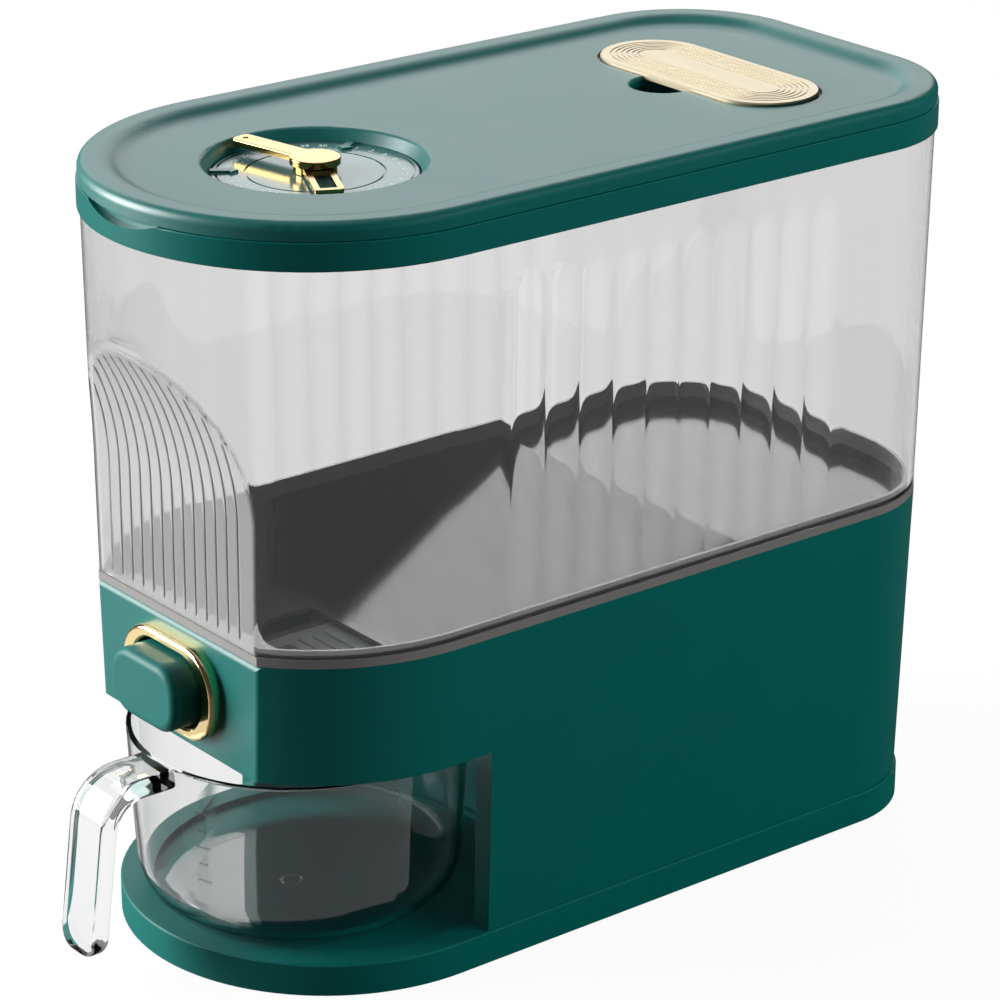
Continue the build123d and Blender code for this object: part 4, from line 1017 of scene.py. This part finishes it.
class Growth:
    """A Geometry Nodes tree with named sizes, made into a plain mesh."""

    def __init__(self, name: str, sizes: dict[str, float | int]) -> None:
        """Open a tree.

        Args:
            name: Name of the tree.
            sizes: Named inputs; a whole number makes an integer input.
        """
        self.name = name
        self.sizes = sizes
        self.tree = bpy.data.node_groups.new(name, "GeometryNodeTree")
        self.tree.interface.new_socket("Geometry", in_out="INPUT", socket_type="NodeSocketGeometry")
        self.keys: dict[str, str] = {}
        for key, value in sizes.items():
            kind = "NodeSocketInt" if isinstance(value, int) else "NodeSocketFloat"
            self.keys[key] = self.tree.interface.new_socket(key, in_out="INPUT", socket_type=kind).identifier
        self.tree.interface.new_socket("Geometry", in_out="OUTPUT", socket_type="NodeSocketGeometry")
        self.bench = Bench(self.tree)
        self.entry = self.bench.make("NodeGroupInput")

    def size(self, key: str) -> Signal:
        """A named input as a signal."""
        return Signal(self.bench, self.entry.outputs[key])

    def bar(self, length: Any, width: Any, height: Any) -> Signal:
        """A plain bar.

        Args:
            length: Length along X.
            width: Width along Y.
            height: Height along Z.

        Returns:
            Its geometry.
        """
        size = self.bench.value("ShaderNodeCombineXYZ", None, {0: length, 1: width, 2: height})
        return self.bench.value("GeometryNodeMeshCube", None, {"Size": size})

    def instances(self, points: Signal, sockets: dict[str, Any]) -> Signal:
        """Copies on points, with the sockets that say what is copied and how it is turned or scaled."""
        return self.bench.value("GeometryNodeInstanceOnPoints", None, {"Points": points, **sockets})

    def mesh(self, geometry: Signal, finish: Finish, points: Sequence[Point] = ()) -> bpy.types.Mesh:
        """Close the tree and make its result a plain mesh.

        Args:
            geometry: What the tree makes.
            finish: Its finish.
            points: Places that the tree gets as its geometry.

        Returns:
            The mesh.
        """
        real = self.bench.value("GeometryNodeRealizeInstances", None, {"Geometry": geometry})
        inputs = {"Geometry": real, "Material": finish.material()}
        dressed = self.bench.value("GeometryNodeSetMaterial", None, inputs)
        self.bench.make("NodeGroupOutput", None, {0: dressed})
        seed = bpy.data.meshes.new(self.name + "_points")
        seed.from_pydata(list(points), [], [])
        obj = bpy.data.objects.new(self.name + "_source", seed)
        modifier = obj.modifiers.new("growth", "NODES")
        modifier.node_group = self.tree
        for key, value in self.sizes.items():
            modifier[self.keys[key]] = value
        bpy.context.scene.collection.objects.link(obj)
        graph = bpy.context.evaluated_depsgraph_get()
        mesh = bpy.data.meshes.new_from_object(obj.evaluated_get(graph))
        obj.modifiers.clear()
        bpy.data.objects.remove(obj)
        return mesh


@dataclass
class DialPrint:
    """Ring of day numbers and fine ticks printed on the dial. Metres and degrees."""

    days: int = 31
    first: float = 116.0
    ring: float = 0.0343
    digit: float = 0.0037
    ink: float = 2e-5
    tick_ring: float = 0.0309
    tick_length: float = 0.0011
    tick_width: float = 0.00028

    def __post_init__(self) -> None:
        """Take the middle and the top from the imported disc."""
        low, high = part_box("dial_plate")
        middle = (low + high) / 2
        self.centre = Vector((middle.x, middle.y, high.z))

    def numbers(self) -> bpy.types.Mesh:
        """All the day numbers as one mesh.

        Returns:
            The mesh.
        """
        work = bmesh.new()
        for day in range(self.days):
            text = bpy.data.curves.new("digit", "FONT")
            text.body = str(day + 1)
            text.size = self.digit
            text.align_x = "CENTER"
            text.align_y = "CENTER"
            text.extrude = self.ink
            text.resolution_u = 2
            obj = bpy.data.objects.new("digit", text)
            bpy.context.scene.collection.objects.link(obj)
            graph = bpy.context.evaluated_depsgraph_get()
            mesh = bpy.data.meshes.new_from_object(obj.evaluated_get(graph))
            turn = math.radians(self.first - day * 360 / self.days)
            out = Vector((math.cos(turn), math.sin(turn), 0.0))
            place = Matrix.Translation(self.centre + self.ring * out)
            mesh.transform(place @ Matrix.Rotation(turn - math.pi / 2, 4, "Z"))
            work.from_mesh(mesh)
            bpy.data.objects.remove(obj)
            bpy.data.meshes.remove(mesh)
        joined = bpy.data.meshes.new("day_numbers")
        work.to_mesh(joined)
        work.free()
        return joined

    def ticks(self) -> bpy.types.Mesh:
        """Two ticks for each day, in a ring.

        Returns:
            The mesh.
        """
        sizes = {"Count": 2 * self.days, "Ring": self.tick_ring}
        growth = Growth("dial_ticks", {**sizes, "Length": self.tick_length, "Width": self.tick_width})
        bench = growth.bench
        round_sizes = {"Vertices": growth.size("Count"), "Radius": growth.size("Ring")}
        circle = bench.value("GeometryNodeMeshCircle", None, round_sizes)
        outward = bench.value("GeometryNodeInputPosition")
        turn = bench.value("FunctionNodeAlignRotationToVector", {"axis": "X"}, {"Vector": outward})
        bar = growth.bar(growth.size("Length"), growth.size("Width"), 2 * self.ink)
        bars = growth.instances(circle, {"Instance": bar, "Rotation": turn})
        placed = bench.value("GeometryNodeTransform", None, {"Geometry": bars, "Translation": self.centre})
        return growth.mesh(placed, WHITE_PRINT)

    def build(self) -> None:
        """Print the numbers and the ticks."""
        piece("day_numbers", self.numbers(), "lid", Slot.INNER, WHITE_PRINT)
        piece("dial_ticks", self.ticks(), "lid", Slot.INNER, WHITE_PRINT)


@dataclass
class CupMarks:
    """Raised graduation bars on the cup's wall and the gate ring on its floor. Metres and degrees."""

    bars: int = 5
    low: float = 0.0415
    step: float = 0.0075
    turn: float = -69.5
    length: float = 0.0062
    shorter: float = 0.42
    width: float = 0.0006
    height: float = 0.0006
    slope: float = 2.9
    wall: float = 0.0022
    gate: tuple[float, float] = (-0.0004, -0.0975)
    gate_radius: float = 0.0042
    gate_ridge: float = 0.0006
    gate_rise: float = 0.8
    gate_sides: int = 10
    gate_steps: int = 48

    def __post_init__(self) -> None:
        """Take the bowl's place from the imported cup."""
        low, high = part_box("measuring_cup")
        self.foot = low.z
        self.top = high.z
        self.radius = high.x
        self.axis = high.y - high.x

    def graduations(self) -> bpy.types.Mesh:
        """Bars up the wall, every other one shorter.

        Returns:
            The mesh.
        """
        run = math.tan(math.radians(self.slope))
        start = (self.radius - (self.top - self.low) * run, 0.0, self.low)
        offset = (self.step * run, 0.0, self.step)
        growth = Growth("cup_graduations", {"Count": self.bars, "Length": self.length, "Width": self.width})
        bench = growth.bench
        line = bench.value("GeometryNodeMeshLine", None, {
            "Count": growth.size("Count"), "Start Location": start, "Offset": offset})
        index = bench.value("GeometryNodeInputIndex")
        odd = bench.value("ShaderNodeMath", {"operation": "MODULO"}, {0: index, 1: 2.0})
        scale = bench.value("ShaderNodeCombineXYZ", None, {0: 1.0, 1: 1.0 - self.shorter * odd, 2: 1.0})
        bar = growth.bar(self.height, growth.size("Length"), growth.size("Width"))
        bars = growth.instances(line, {"Instance": bar, "Scale": scale})
        turn = (0.0, 0.0, math.radians(self.turn))
        place = {"Geometry": bars, "Translation": (0.0, self.axis, 0.0), "Rotation": turn}
        return growth.mesh(bench.value("GeometryNodeTransform", None, place), CUP_CLEAR)

    def gate_ring(self) -> bpy.types.Mesh:
        """Small round ridge left where the cup was moulded.

        Returns:
            The mesh.
        """
        floor = self.foot + self.wall
        around = [2 * math.pi * step / self.gate_steps for step in range(self.gate_steps)]
        x, y = self.gate
        rings = []
        for side in range(self.gate_sides):
            turn = 2 * math.pi * side / self.gate_sides
            reach = self.gate_radius + self.gate_ridge * math.cos(turn)
            z = floor + self.gate_ridge * math.sin(turn) * self.gate_rise
            rings.append([(x + reach * math.cos(a), y + reach * math.sin(a), z) for a in around])
        mesh = ring_mesh("cup_gate_ring", rings)
        smooth(mesh)
        return mesh

    def build(self) -> None:
        """Add both to the cup."""
        piece("cup_graduations", self.graduations(), "cup", Slot.CLEAR, CUP_CLEAR)
        piece("cup_gate_ring", self.gate_ring(), "cup", Slot.CLEAR, CUP_CLEAR)


@dataclass
class ScrewSlots:
    """Painted shade of the screws' cross recesses under the foot plate, as dark bars; heads in pairs (half
    spread, place along Y). Metres.
    """

    pairs: tuple[tuple[float, float], ...] = ((0.0794, 0.029546), (0.0794, 0.109546), (0.0285, 0.183646))
    length: float = 0.0042
    width: float = 0.0009
    depth: float = 0.0001

    def build(self) -> None:
        """Lay a cross of thin dark bars on each head, painted shade of its recess."""
        low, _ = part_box("plate_screws")
        heads = [(x, y, low.z) for half, y in self.pairs for x in (-half, half)]
        growth = Growth("screw_slots", {"Length": self.length, "Width": self.width, "Depth": self.depth})
        bench = growth.bench
        length, width, depth = (growth.size(key) for key in ("Length", "Width", "Depth"))
        cross = bench.make("GeometryNodeJoinGeometry")
        for bar in (growth.bar(length, width, depth), growth.bar(width, length, depth)):
            bench.tree.links.new(bar.socket, cross.inputs[0])
        slots = growth.instances(growth.size("Geometry"), {"Instance": Signal(bench, cross.outputs[0])})
        piece("screw_slots", growth.mesh(slots, PAINTED_RECESS_SHADE, heads), "base", Slot.STEEL, PAINTED_RECESS_SHADE)


@dataclass
class Sachet:
    """Crowned paper sachet with crimped ends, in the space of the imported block."""

    across: int = 60
    along: int = 20
    crimp: float = 0.07
    ripple: float = 0.0004
    seam_share: float = 0.4
    fullness: float = 0.94
    cross_power: float = 2.6
    cross_round: float = 0.55
    end_power: float = 5.0
    end_round: float = 0.6
    pleats: tuple[float, float] = (9.0, 40.0)
    pleat_power: float = 6.0
    pull: float = 0.05
    half_gap: float = 5e-5

    def skin(self, u: float, v: float, side: float, low: Vector, high: Vector) -> Point:
        """A point of the upper or lower skin.

        Args:
            u: Place along the length, from -1 to 1.
            v: Place across, from -1 to 1.
            side: 1 for the upper skin, -1 for the lower one.
            low: Low corner of its space.
            high: High corner of its space.

        Returns:
            The point.
        """
        middle = (low + high) / 2
        half = (high - low) / 2
        end = min(max((abs(u) - 1 + self.crimp) / self.crimp, 0.0), 1.0)
        filled = min(abs(u) / (1 - self.crimp), 1.0)
        crown = (1 - abs(v) ** self.cross_power) ** self.cross_round
        crown *= (1 - filled ** self.end_power) ** self.end_round
        waist = 1 - self.pull * (1 - u * u)
        seam = low.z + self.seam_share * (high.z - low.z)
        room = (high.z - seam) if side > 0 else (seam - low.z)
        pleat = self.ripple * math.sin(self.pleats[0] * u + self.pleats[1] * v) * abs(u) ** self.pleat_power
        z = seam + side * room * crown * self.fullness + pleat * (1 - end) + side * self.half_gap
        return (middle.x + half.x * u, middle.y + half.y * v * waist, min(max(z, low.z), high.z))

    def build(self) -> None:
        """Sew the two skins together."""
        low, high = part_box("desiccant_pack")
        work = bmesh.new()
        grids = []
        for side in (1.0, -1.0):
            grid = []
            for i in range(self.across + 1):
                u = 2 * i / self.across - 1
                across = [2 * j / self.along - 1 for j in range(self.along + 1)]
                grid.append([work.verts.new(self.skin(u, v, side, low, high)) for v in across])
            for i in range(self.across):
                for j in range(self.along):
                    work.faces.new((grid[i][j], grid[i + 1][j], grid[i + 1][j + 1], grid[i][j + 1]))
            grids.append(grid)
        rims = [[row[0] for row in grid] + grid[-1][1:] + [row[-1] for row in reversed(grid[:-1])]
                + list(reversed(grid[0][1:-1])) for grid in grids]
        for k in range(len(rims[0])):
            n = (k + 1) % len(rims[0])
            work.faces.new((rims[0][k], rims[0][n], rims[1][n], rims[1][k]))
        bmesh.ops.recalc_face_normals(work, faces=work.faces)
        mesh = bpy.data.meshes.new("sachet")
        work.to_mesh(mesh)
        work.free()
        smooth(mesh, angle=60.0)
        obj = piece("sachet", mesh, "moisture_cover", Slot.SACHET, stands_for=("desiccant_pack",))


@dataclass
class SpringCoil:
    """Return spring, as a smooth copy of the imported coil."""

    node: str = "return_spring"
    joint: str = "button_press"

    def build(self) -> None:
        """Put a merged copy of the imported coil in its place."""
        travel = next(joint for joint in frame["joints"] if joint["name"] == self.joint)
        low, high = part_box(self.node)
        source = frame["nodes"][self.node]
        work = bmesh.new()
        work.from_mesh(source.data)
        work.transform(source.matrix_world)
        bmesh.ops.remove_doubles(work, verts=work.verts, dist=1e-6)
        mesh = bpy.data.meshes.new("spring_coil")
        work.to_mesh(mesh)
        work.free()
        smooth(mesh, angle=40.0)
        coil = piece("spring_coil", mesh, "base", Slot.STEEL, stands_for=(self.node,))
        anchor = (0.0, travel["deforming_nodes"][0]["fixed_end_y_m"], (low.z + high.z) / 2)
        keep = 1 - travel["range_m"][1] / (anchor[1] - low.y)
        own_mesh(coil)


@dataclass
class Studio:
    """Pale floor, soft lamps, white surround and the camera at the photograph's viewing angle."""

    eye: Point = (1.158665, -0.916786, 0.746887)
    forward: Point = (-0.725099, 0.580523, -0.370439)
    roll: float = 0.2667
    lens: float = 139.3
    sensor: float = 36.0
    floor_half: float = 12.0
    floor_glow: float = 0.94
    # Strength of the painted patch of light that reflections see on the floor.
    painted_light_pool_strength: float = 1.0
    aim: Point = (0.0, 0.0, 0.16)
    # Middle, reach and core of that painted patch of light.
    painted_light_pool: Point = (-0.27, -0.36, 0.0)
    painted_light_pool_reach: float = 0.33
    painted_light_pool_core: float = 0.05
    floor_bounce: float = 0.07
    floor_seen: float = 0.8
    ambient: float = 0.05
    sky_mirror: float = 0.05
    sky_through: float = 0.3

    def camera(self) -> None:
        """Make the camera and set it."""
        data = bpy.data.cameras.new("camera")
        data.lens = self.lens
        data.sensor_width = self.sensor
        data.sensor_fit = "HORIZONTAL"
        data.clip_end = 100.0
        camera = bpy.data.objects.new("camera", data)
        bpy.context.scene.collection.objects.link(camera)
        look = Vector(self.forward).to_track_quat("-Z", "Y")
        tilt = Quaternion((0.0, 0.0, 1.0), math.radians(self.roll))
        camera.rotation_mode = "QUATERNION"
        camera.rotation_quaternion = look @ tilt
        camera.location = self.eye
        bpy.context.scene.camera = camera

    def lamp(self, name: str, place: Point, size: tuple[float, float], radiance: float,
             mirrored: bool = True, through: bool = False) -> None:
        """Make one soft box that points at the middle of the object.

        Args:
            name: Lamp name.
            place: Where it stands, in metres.
            size: Width and height in metres.
            radiance: Brightness of its face, where 1 is white.
            mirrored: Whether gloss shows it.
            through: Whether it shows through clear pieces.
        """
        data = bpy.data.lights.new(name, "AREA")
        data.shape = "RECTANGLE"
        data.size, data.size_y = size
        data.energy = radiance * math.pi * size[0] * size[1]
        lamp = bpy.data.objects.new(name, data)
        bpy.context.scene.collection.objects.link(lamp)
        lamp.location = place
        lamp.rotation_mode = "QUATERNION"
        lamp.rotation_quaternion = (Vector(self.aim) - Vector(place)).to_track_quat("-Z", "Y")
        lamp.visible_glossy = mirrored
        lamp.visible_transmission = through

    def lamps(self) -> None:
        """Soft boxes: front left, a wide panel back left, right rear and a weak top."""
        self.lamp("key_front_left", (-1.6, -1.7, 0.8), (1.5, 1.7), 22.5)
        self.lamp("panel_back_left", (-1.85, 1.2, 1.5), (2.8, 1.6), 2.5, through=True)
        self.lamp("right_rear", (1.9, 1.3, 1.0), (1.6, 1.6), 7.0, mirrored=False)
        self.lamp("top", (0.0, 0.1, 2.1), (1.4, 1.4), 0.6)

    def floor(self) -> None:
        """Pale floor that keeps a soft shadow, with a painted patch of light at the front left that only
        reflections see.
        """
        mesh = bpy.data.meshes.new("floor")
        reach = self.floor_half
        corners = [(-reach, -reach, 0.0), (reach, -reach, 0.0), (reach, reach, 0.0), (-reach, reach, 0.0)]
        mesh.from_pydata(corners, [], [(0, 1, 2, 3)])
        floor = bpy.data.objects.new("floor", mesh)
        bpy.context.scene.collection.objects.link(floor)
        material = bpy.data.materials.new("pale_floor")
        material.use_nodes = True
        material.node_tree.nodes.clear()
        bench = Bench(material.node_tree)
        path = bench.make("ShaderNodeLightPath")
        seen = Signal(bench, path.outputs["Is Camera Ray"])
        seen = seen.largest(Signal(bench, path.outputs["Is Transmission Ray"]))
        # Painted light: reflections see a glowing patch on the floor at the front left.
        offset = bench.place(centre=self.painted_light_pool)
        away = bench.value("ShaderNodeVectorMath", {"operation": "LENGTH"}, {0: offset}, "Value")
        mirror = Signal(bench, path.outputs["Is Glossy Ray"]) * away.rise(self.painted_light_pool_reach, self.painted_light_pool_core)
        glow = (seen * self.floor_glow).largest(mirror * self.painted_light_pool_strength)
        grey = bench.blend(seen, (self.floor_bounce,) * 3, (self.floor_seen,) * 3)
        matt = bench.value("ShaderNodeBsdfDiffuse", None, {"Color": grey})
        light = bench.value("ShaderNodeEmission", None, {"Color": (1.0, 1.0, 1.0, 1.0), "Strength": 1.0})
        bench.make("ShaderNodeOutputMaterial", None, {"Surface": bench.mix(glow, matt, light)})
        mesh.materials.append(material)

    def surround(self) -> None:
        """White to the eye, grey through clear pieces, and dim in reflections and as a lamp."""
        world = bpy.data.worlds.new("surround")
        world.use_nodes = True
        world.node_tree.nodes.clear()
        bench = Bench(world.node_tree)
        path = bench.make("ShaderNodeLightPath")
        seen = Signal(bench, path.outputs["Is Camera Ray"])
        through = Signal(bench, path.outputs["Is Transmission Ray"]) * self.sky_through
        mirror = Signal(bench, path.outputs["Is Glossy Ray"]) * self.sky_mirror
        strength = seen.largest(through).largest(mirror).largest(self.ambient)
        sky = bench.value("ShaderNodeBackground", None, {"Color": (1.0, 1.0, 1.0, 1.0), "Strength": strength})
        bench.make("ShaderNodeOutputWorld", None, {"Surface": sky})
        bpy.context.scene.world = world

    def build(self) -> None:
        """Set up the whole studio."""
        self.camera()
        self.lamps()
        self.floor()
        self.surround()
        bpy.context.scene.view_settings.view_transform = "Standard"


def dress_nodes() -> None:
    """Give every CAD node its own finish or that of its slot."""
    for name, obj in frame["nodes"].items():
        for material_slot in obj.material_slots:
            slot = Slot(material_slot.material.name.split(".")[0])
            finish = NODE_FINISHES.get(name) or FINISHES[slot]
            material_slot.material = finish.material()
            LOG.info("node %s wears %s", name, finish.name)


def main() -> None:
    """Build the studio and every sub-assembly."""
    logging.basicConfig(level=logging.INFO, format="%(name)s %(message)s")
    Studio().build()
    dress_nodes()
    HopperShell().build()
    DialPrint().build()
    CupMarks().build()
    ScrewSlots().build()
    Sachet().build()
    SpringCoil().build()


if __name__ == "__main__":
    main()
